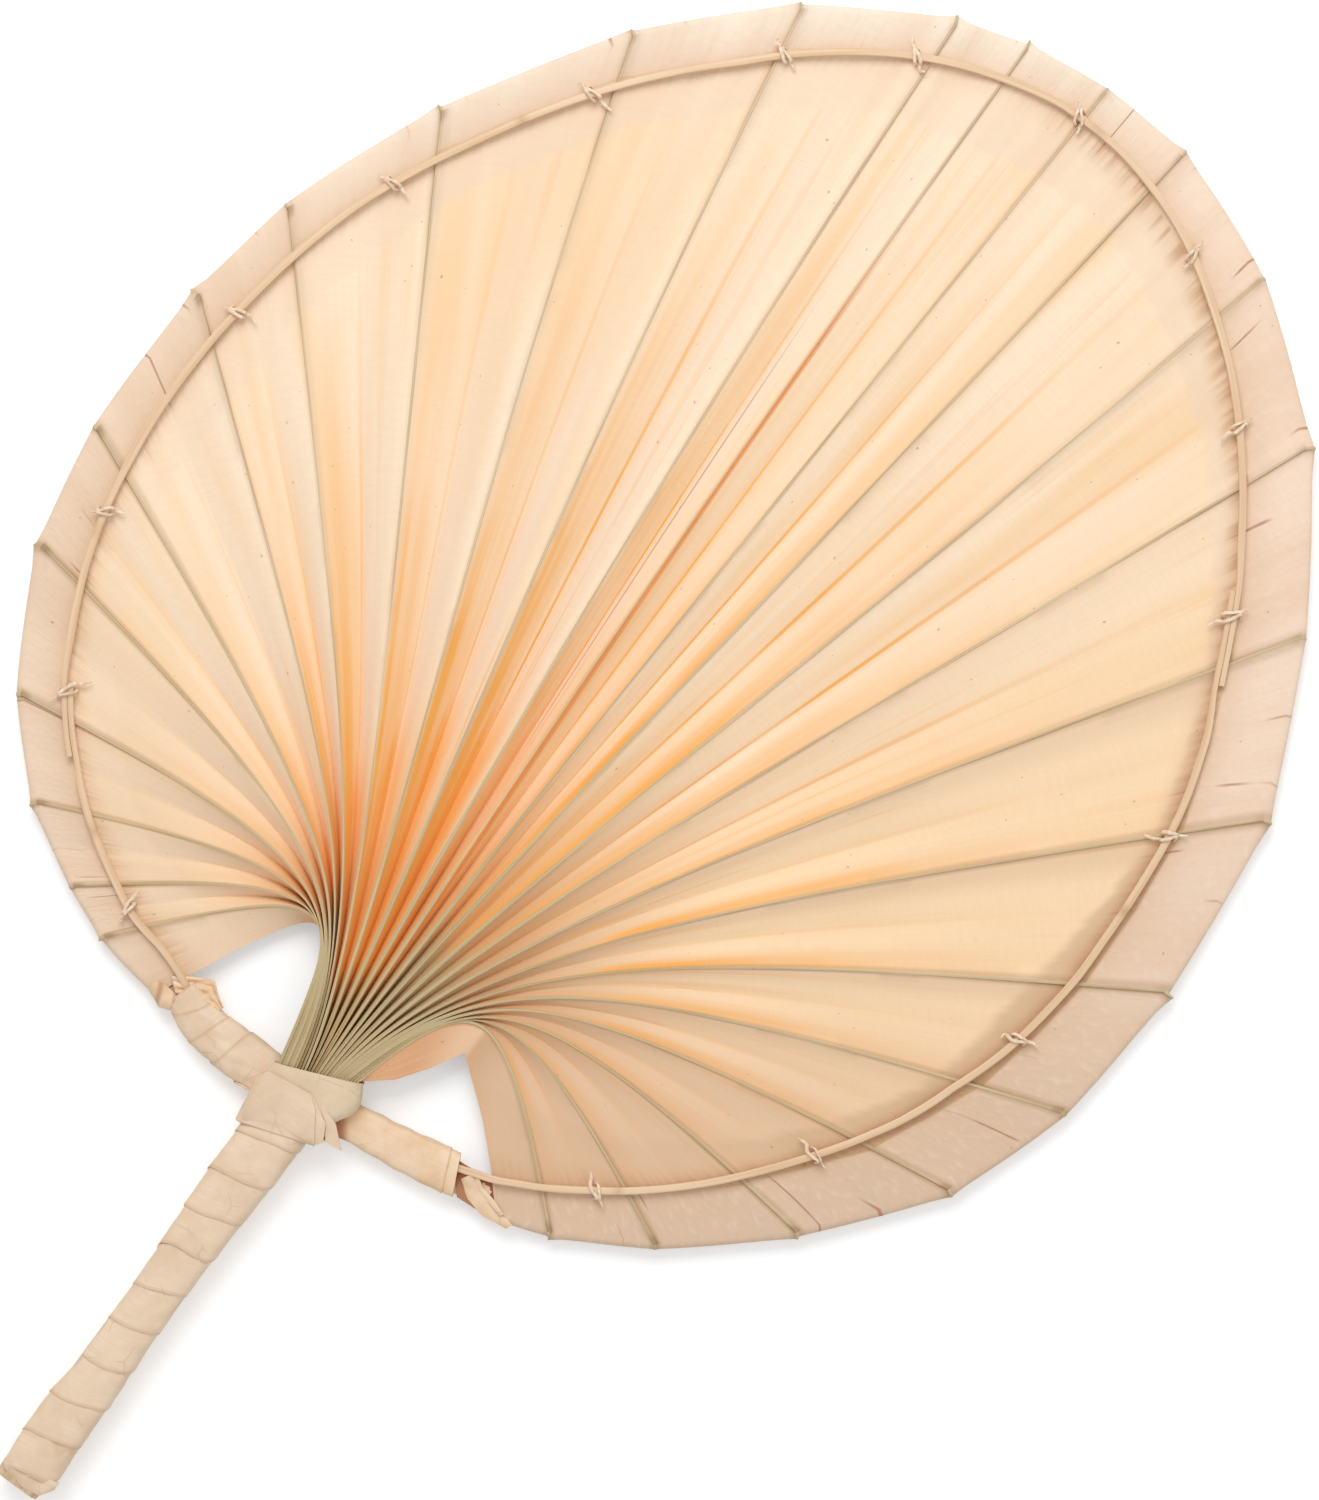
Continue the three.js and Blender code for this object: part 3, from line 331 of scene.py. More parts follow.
# The leaf as one sheet. Each column runs up the front from neck to rim, round the hoop and back as the flap
def leafSheet():
    folds = 2 * len(ridgeShares) + 1
    rows = blade["rows"]
    last = rows + 1
    plans = [foldPlan(i / 2 - 0.5, rows) for i in range(folds)]
    lengths = [runAlong(plan) for plan in plans]
    perPleat = len(columnShares) + 2
    columns = (folds - 1) * perPleat
    total = rows + blade["turnRows"] + blade["flapRows"] + 2
    where = np.zeros((columns + 1, total, 3))
    uv = np.zeros((columns + 1, total, 2))
    facts = {name: np.zeros((columns + 1, total)) for name in leafFacts}
    leans = [random.choice((-1, 1)) for _ in range(folds)]
    ears = [random.uniform(0.5, 1.5) for _ in range(folds)]
    sunk = [random.uniform(0, rib["sink"]) * (1 if 6 < fold / 2 < 13 else 0.5) for fold in range(folds)]
    insets = [splintInset(rimShareOf(column / perPleat / 2 - 0.5)) for column in range(columns + 1)]

    def layFront(column, pleat):
        step = column - pleat * perPleat
        toRidge = pleat % 2 == 0
        ridgeIndex = pleat + 1 if toRidge else pleat
        dropped = (leans[ridgeIndex] > 0) != toRidge  # the far side of a lapped fold drops at once
        low = smoothStep(pleat / 2, 17, 20)
        for j in range(rows + 1):
            run = j / rows
            a, b = plans[pleat][j], plans[pleat + 1][j]
            halfPleat = max(np.linalg.norm(b - a), 0.15)
            places = pleatPlaces(halfPleat, run, pleat / 2)
            s = places[step] if toRidge else places[perPleat - step]
            depth, lift = readShares(pleatShares, run)
            flatter = smoothStep(pleat / 2, 11, 15) * smoothStep(run, 0.25, 0.5)
            hubFlat = smoothStep(pleat / 2, 12.5, 15.5) * (1 - smoothStep(run - 0.12 * low, 0.35, 0.6))
            fall = depth * blade["pleatDepth"] * (1 - 0.4 * flatter) * (1 - (0.45 + 0.2 * low) * hubFlat)
            share = s if toRidge else 1 - s
            at = lerp(a, b, share)
            ridge = (pleat + share) / 2 - 0.5
            onRib = smoothStep(s, places[4], places[5])
            lap = smoothStep(run, 0.8, 0.93)
            rise = min(s / places[4], 1) if places[4] > 0 else 1
            profile = lerp(rise - 0.5, min(rise, 0.3) - 0.5, lap * (1 - onRib)) if dropped else rise - 0.5
            z = lerp(blade["rimHeight"], bundle["middle"], lift)
            z = z + profile * fall + rib["rise"] * onRib * (1 - 0.5 * lap)
            z -= sunk[ridgeIndex] * s * (1 - smoothStep(run, 0.05, 0.3))
            drift = uneven(0.34, ridge * 1.7, lengths[pleat][j] / 34, 3.1)
            fine = uneven(0.14, ridge * 5.3, lengths[pleat][j] / 15, 8.7)
            z += (drift + fine) * smoothStep(run, 0.2, 0.45) * (1 - 0.45 * lap) * (1 - onRib)
            length = lerp(lengths[pleat][j], lengths[pleat + 1][j], share)
            left = lerp(lengths[pleat][-1], lengths[pleat + 1][-1], share) - length
            where[column, j + 1] = (at[0], at[1], z)
            facts["rib"][column, j + 1] = onRib
            facts["run"][column, j + 1] = run
            facts["rimGap"][column, j + 1] = left
            facts["splintGap"][column, j + 1] = left + blade["foldReach"] - insets[column]
            facts["lapLine"][column, j + 1] = lap * s ** 3 * (1 if dropped else 0)
            uv[column, j + 1] = (ridge, length / blade["mapStep"])
        # The tail of the bundle runs on under the neck's bands
        where[column, 0] = where[column, 1] - (0, bundle["tail"], 0)
        uv[column, 0] = uv[column, 1] - (0, bundle["tail"] / blade["mapStep"])
        for name in facts:
            facts[name][column, 0] = facts[name][column, 1]
        return ridge

    def layBack(column, pleat, ridge):
        share = rimShareOf(ridge)
        rim, into, _ = rimAt(share)
        before, after = math.floor(ridge), math.floor(ridge) + 1
        chord = lerp(rimAt(rimShareOf(before))[0], rimAt(rimShareOf(after))[0], ridge - before)
        inside = 0 <= before and after <= len(ridgeShares) - 1
        shift = (chord - rim) * 0.5 if inside else np.zeros(2)
        past = ridge - before if leans[max(2 * before + 1, 0)] > 0 else after - ridge
        reach = blade["foldReach"] + ears[max(2 * before, 0)] * math.exp(-past / 0.1)
        for j in range(rows // 2, rows + 1):  # the front is drawn towards the rim's straight runs and ears
            where[column, j + 1, :2] += shift * smoothStep(j / rows, 0.8, 1)
        top = where[column, last][2]
        middle, half = (top + blade["flapHeight"]) / 2, (top - blade["flapHeight"]) / 2
        for j in range(1, blade["turnRows"] + 1):
            angle = math.pi * j / blade["turnRows"]
            out = rim + shift + into * (blade["foldReach"] - reach * math.sin(angle))
            where[column, last + j] = (out[0], out[1], middle + half * math.cos(angle))
        depth = blade["flapDepth"] + blade["flapStep"] * flapStepShares[(pleat // 2) % len(flapStepShares)]
        depth += uneven(blade["flapTear"], ridge * 9, 0, 21)
        first = last + blade["turnRows"]
        for j in range(1, blade["flapRows"] + 1):
            run = j / blade["flapRows"]
            inset = lerp(blade["foldReach"], depth, run)
            spot = rimAt(share, inset)[0] + shift * (1 - run)
            ripple = uneven(0.08, ridge * 4, inset / 9, 5)
            where[column, first + j] = (spot[0], spot[1], blade["flapHeight"] + ripple)
        for row in range(last + 1, total):
            gone = np.linalg.norm(where[column, row] - where[column, row - 1])
            uv[column, row] = uv[column, row - 1] + (0, gone / blade["mapStep"])
        for name in ("rib", "lapLine"):
            facts[name][column, last + 1:] = facts[name][column, last]
        facts["splintGap"][column, last + 1:] = -blade["flapDepth"]
        facts["run"][column, last + 1:] = 1
        facts["flapReach"][column, :] = depth

    for column in range(columns + 1):
        pleat = min(column // perPleat, folds - 2)
        layBack(column, pleat, layFront(column, pleat))
    return where, facts, uv


# Adds a grid primitive and moves its vertices to the places given, with its own UV map and attributes
def sheetPiece(name, where, uv, facts=None):
    columns, rows = where.shape[0] - 1, where.shape[1] - 1
    choose()
    bpy.ops.mesh.primitive_grid_add(x_subdivisions=columns, y_subdivisions=rows, size=2)
    piece = bpy.context.object
    piece.name = piece.data.name = name
    mesh = piece.data
    flat = np.zeros(len(mesh.vertices) * 3)
    mesh.vertices.foreach_get("co", flat)
    flat = flat.reshape(-1, 3)
    i = np.rint((flat[:, 0] + 1) / 2 * columns).astype(int)
    j = np.rint((flat[:, 1] + 1) / 2 * rows).astype(int)
    mesh.vertices.foreach_set("co", toFrame(where[i, j]).ravel())
    corners = np.zeros(len(mesh.loops), dtype=int)
    mesh.loops.foreach_get("vertex_index", corners)
    mesh.uv_layers.active.data.foreach_set("uv", uv[i, j][corners].ravel())
    mesh.uv_layers.active.name = "pieceMap"
    for fact, values in (facts or {}).items():
        mesh.attributes.new(fact, "FLOAT", "POINT").data.foreach_set("value", values[i, j])
    mesh.update()
    return piece


# Selects these pieces alone, and makes the first the active one
def choose(*pieces):
    bpy.ops.object.select_all(action="DESELECT")
    for piece in reversed(pieces):
        piece.select_set(True)
        bpy.context.view_layer.objects.active = piece


# Runs one operator on a piece's whole mesh
def editMesh(piece, operator, **settings):
    choose(piece)
    bpy.ops.object.mode_set(mode="EDIT")
    bpy.ops.mesh.select_all(action="SELECT")
    operator(**settings)
    bpy.ops.object.mode_set(mode="OBJECT")


# Joins the first and last columns of a sheet that runs round into a tube
def mergeSeam(piece):
    editMesh(piece, bpy.ops.mesh.remove_doubles, threshold=0.00001)


def faceOut(piece):
    editMesh(piece, bpy.ops.mesh.normals_make_consistent, inside=False)


def closeEnds(piece):
    mergeSeam(piece)
    bpy.ops.object.mode_set(mode="EDIT")
    bpy.ops.mesh.select_all(action="DESELECT")
    bpy.ops.mesh.select_mode(type="EDGE")
    bpy.ops.mesh.select_non_manifold()
    bpy.ops.mesh.edge_face_add()
    bpy.ops.mesh.select_mode(type="VERT")
    bpy.ops.object.mode_set(mode="OBJECT")
    faceOut(piece)


def joinPieces(first, *others):
    choose(first, *others)
    bpy.ops.object.join()


# Gives a sheet its thickness, to both sides or, with an offset of 1, outwards. A vertex group thins it
def giveWall(piece, millimetres, offset=0, group=""):
    choose(piece)
    wall = piece.modifiers.new("wall", "SOLIDIFY")
    wall.thickness = millimetres / 1000
    wall.offset = offset
    wall.use_rim = True
    wall.vertex_group = group
    bpy.ops.object.modifier_apply(modifier=wall.name)


def smooth(piece, angle=45):
    choose(piece)
    bpy.ops.object.shade_smooth_by_angle(angle=math.radians(angle))


def finish(piece, material, node):
    piece.data.materials.clear()
    piece.data.materials.append(material)
    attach(piece, "root")
    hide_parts(node)


# Materials

def linear(hexColour):
    parts = [int(hexColour[k:k + 2], 16) / 255 for k in (1, 3, 5)]
    return tuple(p / 12.92 if p <= 0.04045 else ((p + 0.055) / 1.055) ** 2.4 for p in parts) + (1,)


# A look with its colours made linear
def shades(look):
    return {key: linear(value) if isinstance(value, str) else value for key, value in look.items()}


# The shader nodes used: Blender's type, its settings, the inputs that values fill in turn, the output read
nodeKinds = {
    "mix": ("Mix", {"data_type": "RGBA"}, (0, 6, 7), 2),
    "ramp": ("MapRange", {"interpolation_type": "SMOOTHSTEP"}, (0, 1, 2, 3, 4), 0),
    "map": ("UVMap", {"uv_map": "pieceMap"}, (), 0),
    "place": ("TexCoord", {}, (), "Object"),
    "fact": ("Attribute", {}, (), "Fac"),
    "axes": ("SeparateXYZ", {}, (0,), 0),
    "mapping": ("Mapping", {}, ("Vector", "Location", "Scale"), 0),
    "noise": ("TexNoise", {"noise_dimensions": "3D"}, ("Vector", "Scale", "Detail", "Roughness"), 0),
    "cells": ("TexVoronoi", {"feature": "DISTANCE_TO_EDGE"}, ("Vector", "Scale"), "Distance"),
    "bump": ("Bump", {}, ("Height", "Strength", "Distance"), 0),
    "surface": ("BsdfPrincipled", {}, ("Base Color", "Roughness", "Normal"), 0),
    "diffuse": ("BsdfDiffuse", {}, ("Color",), 0),
    "glow": ("Emission", {}, ("Color", "Strength"), 0),
    "both": ("AddShader", {}, (0, 1), 0),
    "path": ("LightPath", {}, (), "Is Camera Ray"),
    "sky": ("Background", {}, ("Color", "Strength"), 0),
    "materialEnd": ("OutputMaterial", {}, ("Surface",), None),
    "worldEnd": ("OutputWorld", {}, ("Surface",), None),
}
for operation in ("ADD", "SUBTRACT", "MULTIPLY", "DIVIDE", "MULTIPLY_ADD", "MAXIMUM", "ABSOLUTE", "FRACT"):
    nodeKinds[operation] = ("Math", {"operation": operation}, (0, 1, 2), 0)


# Adds one node: each value fills the next input, linked where it is a socket
def addNode(tree, kind, *values, **settings):
    blenderType, fixed, inputs, output = nodeKinds[kind]
    made = tree.nodes.new("ShaderNode" + blenderType)
    for key, value in {**fixed, **settings}.items():
        setattr(made, key, value)
    for key, value in zip(inputs, values):
        if isinstance(value, bpy.types.NodeSocket):
            tree.links.new(value, made.inputs[key])
        else:
            made.inputs[key].default_value = value
    return None if output is None else made.outputs[output]


# Gives back an empty material or world, and what adds nodes to it
def emptyNodes(owner):
    owner.use_nodes = True
    owner.node_tree.nodes.clear()
    return owner, partial(addNode, owner.node_tree)


# A noise pattern, stretched by its scale: the larger, the finer
def grain(add, vector, scale, detail=3, rough=0.55, place=(0, 0, 0)):
    return add("noise", add("mapping", vector, place, scale), 1, detail, rough)


# Ends a material: its colour, and a relief as deep as the look says
def surface(add, look, colour, height):
    bump = add("bump", height, look["strength"], look["relief"] / 1000)
    add("materialEnd", add("surface", colour, look["roughness"], bump))


leafLook = {
    "cream": "#fee7ca",
    "blush": "#fbd8ad",
    "hubSide": "#e8bb83",
    "hubLow": "#cda27a",
    "amber": "#f6ad50",
    "deepAmber": "#eca350",
    "valleySideShade": "#efd3b9",  # painted shade: the dull pink side of each valley
    "khaki": "#bfa67e",
    "paleKhaki": "#dac6a3",
    "hubKhaki": "#b39d70",
    "paleHubKhaki": "#cfba8e",
    "gap": "#85603a",
    "boundKhaki": "#c0a47b",
    "doubledTop": "#f9dfc2",
    "doubledSide": "#ebc8a4",
    "doubledLow": "#d5b28c",
    "hemTop": "#f8e6d1",
    "hemLeft": "#f0d5ba",
    "hemRight": "#f9ddc5",
    "hemLow": "#ddbfa3",
    "hemShade": "#e2bf9e",
    "low": "#fddbb1",
    "lowEnd": "#e3bc98",
    "lowShade": "#e2bd98",
    "leftDull": "#eccaa4",
    "bottom": "#dba066",
    "inner": "#e4aa7c",
    "innerPale": "#f6cda6",
    "crease": "#a9704c",
    "stain": "#a85f2c",
    "orange": "#f29d50",
    "lapShade": "#a9835c",
    "brownMarkAndShade": "#c4966c",
    "corner": "#8f7046",
    "roughness": 0.6,
    "amberStrength": 1.0,
    "orangeRidge": 12,
    "threadPleat": 11.62,
    "strength": 0.5,
    "relief": 0.16,
}


# Dried fan palm leaf: a papery skin with close parallel veins, matt along them and never one colour
def driedPalmLeaf():
    look = shades(leafLook)
    material, add = emptyNodes(bpy.data.materials.new("driedPalmLeaf"))

    def times(first, *others):
        for other in others:
            first = add("MULTIPLY", first, other)
        return first

    def away(value, centre):
        return add("ABSOLUTE", add("SUBTRACT", value, centre))

    uv = add("map")
    ridge = add("axes", uv)
    across = add("FRACT", ridge)  # 0 at a ridge, a half in the valley, 1 at the next ridge
    facts = (add("fact", attribute_name=name) for name in leafFacts)
    onRib, run, rimGap, splintGap, flapReach, lapLine = facts
    # One unit of the map is a pleat across and 20 mm along: veins 0.6 mm apart, streaks 3 mm apart
    veins = grain(add, uv, (34, 0.35, 1), 4, 0.6)
    streaks = grain(add, uv, (8, 0.13, 1), 3, 0.55, (3, 7, 0))
    broad = grain(add, uv, (2.6, 0.12, 1), 2, 0.5, (8, 1, 3))
    patches = grain(add, uv, (1.2, 0.35, 1), 2, 0.5, (11, 2, 0))
    crossVeins = grain(add, uv, (5, 17, 1), 2, 0.6, (0, 4, 1))
    onRight = add("ramp", ridge, 10.5, 14)
    onLeft = add("SUBTRACT", 1.0, onRight)
    face = add("mix", add("ramp", broad, 0.4, 0.72), look["cream"], look["blush"])
    face = add("mix", add("ramp", veins, 0.45, 0.85, 0, 0.45), face, look["blush"])
    # The hub's browner shades reach further out on the outer pleats of both sides
    reach = add("SUBTRACT", run, add("ramp", ridge, 16, 22, 0, 0.18))
    reach = add("SUBTRACT", reach, add("ramp", ridge, 5, 2, 0, 0.16))
    onLow = add("ramp", ridge, 15, 18)
    notLow = add("SUBTRACT", 1.0, onLow)
    face = add("mix", add("ramp", ridge, 5, 2.5, 0, 0.75), face, look["leftDull"])
    face = add("mix", add("ramp", reach, 0.14, 0.48, 0.85, 0), face, look["hubSide"])
    # Low on the right the face turns darker: painted shade, as if lit from the top
    lowFace = add("mix", add("ramp", ridge, 18.5, 22.3), look["low"], look["lowEnd"])
    face = add("mix", times(onLow, 0.88), face, lowFace)
    # Painted shade on the low pleats just past each ridge
    dull = times(onLow, add("ramp", across, 0.08, 0.34, 0.6, 0), add("ramp", run, 0.3, 0.5))
    face = add("mix", dull, face, look["lowShade"])
    byHub = times(add("ramp", ridge, 12.5, 15.5), add("ramp", reach, 0.24, 0.58, 0.92, 0))
    face = add("mix", byHub, face, look["hubLow"])
    # The side away from the amber is a duller pink, painted as shade
    valleySideShade = times(add("ramp", across, 0.5, 0.53), add("ramp", across, 0.7, 0.98, 1, 0), onLeft)
    shadeAfterRidge = times(add("ramp", across, 0.02, 0.16, 0.5, 0), onRight)
    valleySideShade = times(add("MAXIMUM", valleySideShade, shadeAfterRidge), add("ramp", reach, 0.32, 0.52))
    valleySideShade = times(valleySideShade, add("ramp", run, 0.5, 0.9, 0.8, 0.3))
    face = add("mix", valleySideShade, face, look["valleySideShade"])
    # Amber fills the pleats near the hub. On the left it keeps to the pleat's first side, from the ridge
    # on, and on the right it lies against the next ridge; it thins out towards the rim
    strength = add("ramp", patches, 0.32, 0.6, 0.8, 1.15)
    outward = add("ramp", run, 0.42, 1.0, 1.0, 0.06)
    varied = add("ramp", streaks, 0.3, 0.62, 0.6, 1.0)
    hubward = add("ramp", reach, 0.4, 0.58, 1, 0)
    risen = add("ramp", across, -0.03, add("ramp", ridge, 6, 10, 0.03, 0.12))
    fallen = add("ramp", across, 0.14, 0.5, 1, add("ramp", ridge, 5, 9, 0.12, 0.4))
    leftSide = times(risen, add("MAXIMUM", fallen, hubward), onLeft)
    beyond = times(hubward, add("ramp", across, 0.6, 1, 0.75, 0.3))
    cut = add("MAXIMUM", add("ramp", across, 0.49, 0.52, 1, 0), beyond)
    leftSide = times(leftSide, cut)
    middleSide = times(add("ramp", across, 0.1, 0.5, 0, 0.5), add("ramp", across, 0.5, 0.53, 1, 0))
    middleSide = times(middleSide, onRight, notLow)
    rightSide = times(add("ramp", across, 0.46, 0.99, 0.2, 1), add("ramp", across, 0.44, 0.5))
    rightSide = times(rightSide, onRight, notLow)
    lowSide = times(add("ramp", across, 0.66, 0.94), onLow, add("ramp", reach, 0.34, 0.46))
    lowSide = times(lowSide, add("ramp", ridge, 20.3, 22, 1.25, 0.8))
    rightSide = add("MAXIMUM", rightSide, lowSide)
    sides = add("MAXIMUM", add("MAXIMUM", leftSide, rightSide), middleSide)
    spread = times(sides, outward, varied)
    creaseAt = add("MULTIPLY_ADD", broad, 0.05, 0.46)
    toCrease = away(across, creaseAt)
    thread = add("ramp", toCrease, 0.006, 0.045, 0.95, 0)
    thread = add("MAXIMUM", thread, add("ramp", toCrease, 0, 0.2, 0.3, 0))
    thread = times(thread, add("ramp", run, 0.6, 1.0, 1, 0.15), add("ramp", run, 0.3, 0.55, 0.3, 1))
    thread = times(thread, add("ramp", onLow, 0, 1, 1, 0.25), add("ramp", ridge, 9, 11, 0.6, 1))
    second = times(add("ramp", streaks, 0.57, 0.66), add("ramp", run, 0.3, 0.85, 0.65, 0.15))
    wash = times(add("ramp", run, 0.15, 0.55, 0.5, 0.0), add("ramp", patches, 0.36, 0.62), notLow)
    amber = add("MAXIMUM", add("MAXIMUM", spread, thread), add("MAXIMUM", second, wash))
    amber = times(amber, strength, look["amberStrength"], add("ramp", ridge, 6, 3.6, 1, 0.5))
    face = add("mix", amber, face, look["amber"])
    hub = times(add("ramp", reach, 0.16, 0.46, 1.0, 0.0), add("ramp", run, 0.14, 0.3, 0.4, 1))
    deep = times(hub, add("MAXIMUM", sides, add("ramp", away(across, 0.5), 0.3, 0.08, 0, 0.8)), varied)
    face = add("mix", times(deep, add("ramp", ridge, 12.5, 15.5, 1, 0.1)), face, look["deepAmber"])
    bottom = add("MAXIMUM", add("ramp", across, 0.7, 0.99), add("ramp", across, 0, 0.14, 0.5, 0))
    bottom = times(bottom, add("ramp", ridge, 18.5, 21.5), add("ramp", run, 0.35, 0.98, 0.7, 0.15))
    face = add("mix", bottom, face, look["bottom"])
    # One ridge shows no midrib but a long orange streak beside it, and a thin brown thread runs before it
    past = add("SUBTRACT", ridge, look["orangeRidge"] - 0.01)
    past = add("DIVIDE", past, add("ramp", run, 0.15, 0.75, 0.3, 0.085))
    streak = times(add("ramp", past, 0, 0.12), add("ramp", past, 0.75, 1.15, 1, 0))
    streak = times(streak, add("ramp", run, 0.76, 0.92, 0.9, 0), add("ramp", run, 0.1, 0.2))
    face = add("mix", streak, face, look["orange"])
    threadAt = add("MULTIPLY_ADD", broad, 0.05, look["threadPleat"] - 0.025)
    line = times(add("ramp", away(ridge, threadAt), 0.006, 0.022, 0.6, 0), add("ramp", run, 0.4, 0.5))
    face = add("mix", times(line, add("ramp", run, 0.7, 0.85, 1, 0)), face, look["stain"])
    # The last half pleat turns its underside to the front, up to its corner; its darker colour is partly
    # painted shade
    inner = add("mix", add("ramp", run, 0.2, 0.46), look["inner"], look["innerPale"])
    inner = add("mix", add("ramp", streaks, 0.5, 0.64, 0, 0.7), inner, look["innerPale"])
    turned = times(add("ramp", ridge, 24.02, 24.08, 0, 0.9), add("ramp", run, 0.49, 0.53, 1, 0))
    face = add("mix", turned, face, inner)
    # Where the folded-back end lies under the front, less light comes through
    ragged = add("MULTIPLY_ADD", grain(add, uv, (12, 0.5, 1), 1, 0.5, (5, 5, 5)), 3.4, -1.7)
    under = add("SUBTRACT", add("ADD", flapReach, ragged), rimGap)
    folded = add("mix", add("ramp", ridge, 15.5, 18.5), look["doubledTop"], look["doubledSide"])
    folded = add("mix", add("ramp", broad, 0.34, 0.68, 0, 0.3), folded, look["hemShade"])
    folded = add("mix", add("ramp", ridge, 17.6, 19.2), folded, look["doubledLow"])
    bandFrom, bandFull = add("ramp", ridge, 17.6, 19.2, -0.8, -7.5), add("ramp", ridge, 17.6, 19.2, 1.6, -3)
    onBand = add("ramp", under, bandFrom, bandFull)
    onBand = times(onBand, add("ramp", ridge, 3, 8, 0.3, 0.8), add("ramp", ridge, 21, 22.4, 1, 0.35))
    colour = add("mix", onBand, face, folded)
    # The hem outside the splint is palest at the tip and dullest low on the right: painted light and shade,
    # as if lit from the top
    hem = add("mix", add("ramp", ridge, 6, 9), look["hemLeft"], look["hemTop"])
    hem = add("mix", add("ramp", ridge, 12, 15.5), hem, look["hemRight"])
    hem = add("mix", add("ramp", ridge, 17, 20.7), hem, look["hemLow"])
    hem = add("mix", add("ramp", splintGap, -11, 0, 0, 0.45), hem, look["hemShade"])
    hem = add("mix", add("ramp", broad, 0.36, 0.7, 0, 0.4), hem, look["hemShade"])
    hem = add("mix", add("ramp", veins, 0.5, 0.85, 0, 0.35), hem, look["hemShade"])
    bumps = grain(add, uv, (17, 6, 1), 1, 0.5, (7, 3, 3))
    lighter = times(add("ramp", bumps, 0.5, 0.76), add("ramp", ridge, 12, 15), 0.22)
    hem = add("mix", lighter, hem, look["hemTop"])
    colour = add("mix", add("ramp", splintGap, 0.4, -0.4), colour, hem)
    # Short brown marks beside the splint, partly painted shade, and fine dark creases in the hem
    marks = times(add("ramp", splintGap, 0, 1.2), add("ramp", splintGap, 1.5, 8, 1, 0))
    dashes = grain(add, uv, (19, 0.6, 1), 1, 0.5, (2, 2, 2))
    byRidge = times(add("ramp", ridge, 11.5, 14), add("ramp", ridge, 21, 24, 1, 0.4))
    byRidge = add("MAXIMUM", byRidge, add("ramp", ridge, 4, 6.5, 0.6, 0.25))
    marks = times(marks, add("ramp", dashes, 0.36, 0.66, 0.22, 0.74), byRidge)
    colour = add("mix", marks, colour, look["brownMarkAndShade"])
    # Painted shade beside the splint on the low right pleats
    shaded = times(add("ramp", splintGap, 0, 0.6), add("ramp", splintGap, 1, 11, 0.6, 0))
    shaded = times(shaded, add("ramp", ridge, 16, 18.6), add("ramp", ridge, 20.8, 21.8, 1, 0.2))
    colour = add("mix", shaded, colour, look["brownMarkAndShade"])
    phase = add("MULTIPLY_ADD", ridge, 2.7, grain(add, uv, (1.1, 0.3, 1), 1, 0.5, (1, 6, 2)))
    line = away(add("FRACT", phase), 0.5)
    shown = add("ramp", grain(add, uv, (1.9, 0.8, 1), 1, 0.5, (4, 4, 1)), 0.54, 0.62)
    creased = times(add("ramp", line, 0.008, 0.034, 0.75, 0), add("ramp", splintGap, 9, -1), shown)
    colour = add("mix", creased, colour, look["crease"])
    # Ridges: a khaki midrib, tan near the neck, and a painted shadow line where its far side laps down
    lapShadow = add("ramp", lapLine, 0.82, 1.0, 0, 0.75)
    colour = add("mix", lapShadow, colour, look["lapShade"])
    # Near the neck the pleats are packed so close that only khaki shows, but for the opened middle
    leftPacked = times(add("ramp", ridge, 7.6, 6), add("ramp", run, 0.27, 0.4, 0.9, 0))
    rightPacked = times(add("ramp", ridge, 12, 13.6), add("ramp", run, 0.19, 0.28, 0.9, 0))
    packed = times(add("MAXIMUM", leftPacked, rightPacked), add("ramp", ridge, 24, 24.05, 1, 0))
    colour = add("mix", packed, colour, look["boundKhaki"])
    rimRib = add("mix", add("ramp", veins, 0.35, 0.6), look["khaki"], look["paleKhaki"])
    hubRib = add("mix", add("ramp", veins, 0.35, 0.6), look["hubKhaki"], look["paleHubKhaki"])
    bold = add("MAXIMUM", onLow, add("ramp", ridge, 6.5, 4.5, 0.35, 1))
    rimRib = add("mix", times(bold, 0.65), rimRib, hubRib)
    khaki = add("mix", add("ramp", run, 0.25, 0.5), hubRib, rimRib)
    # Painted shade in thin lines along both sides of the bold ridges
    beside = times(add("ramp", away(across, 0.5), 0.43, 0.478, 0, 0.4), bold, add("ramp", run, 0.35, 0.55))
    colour = add("mix", beside, colour, look["lapShade"])
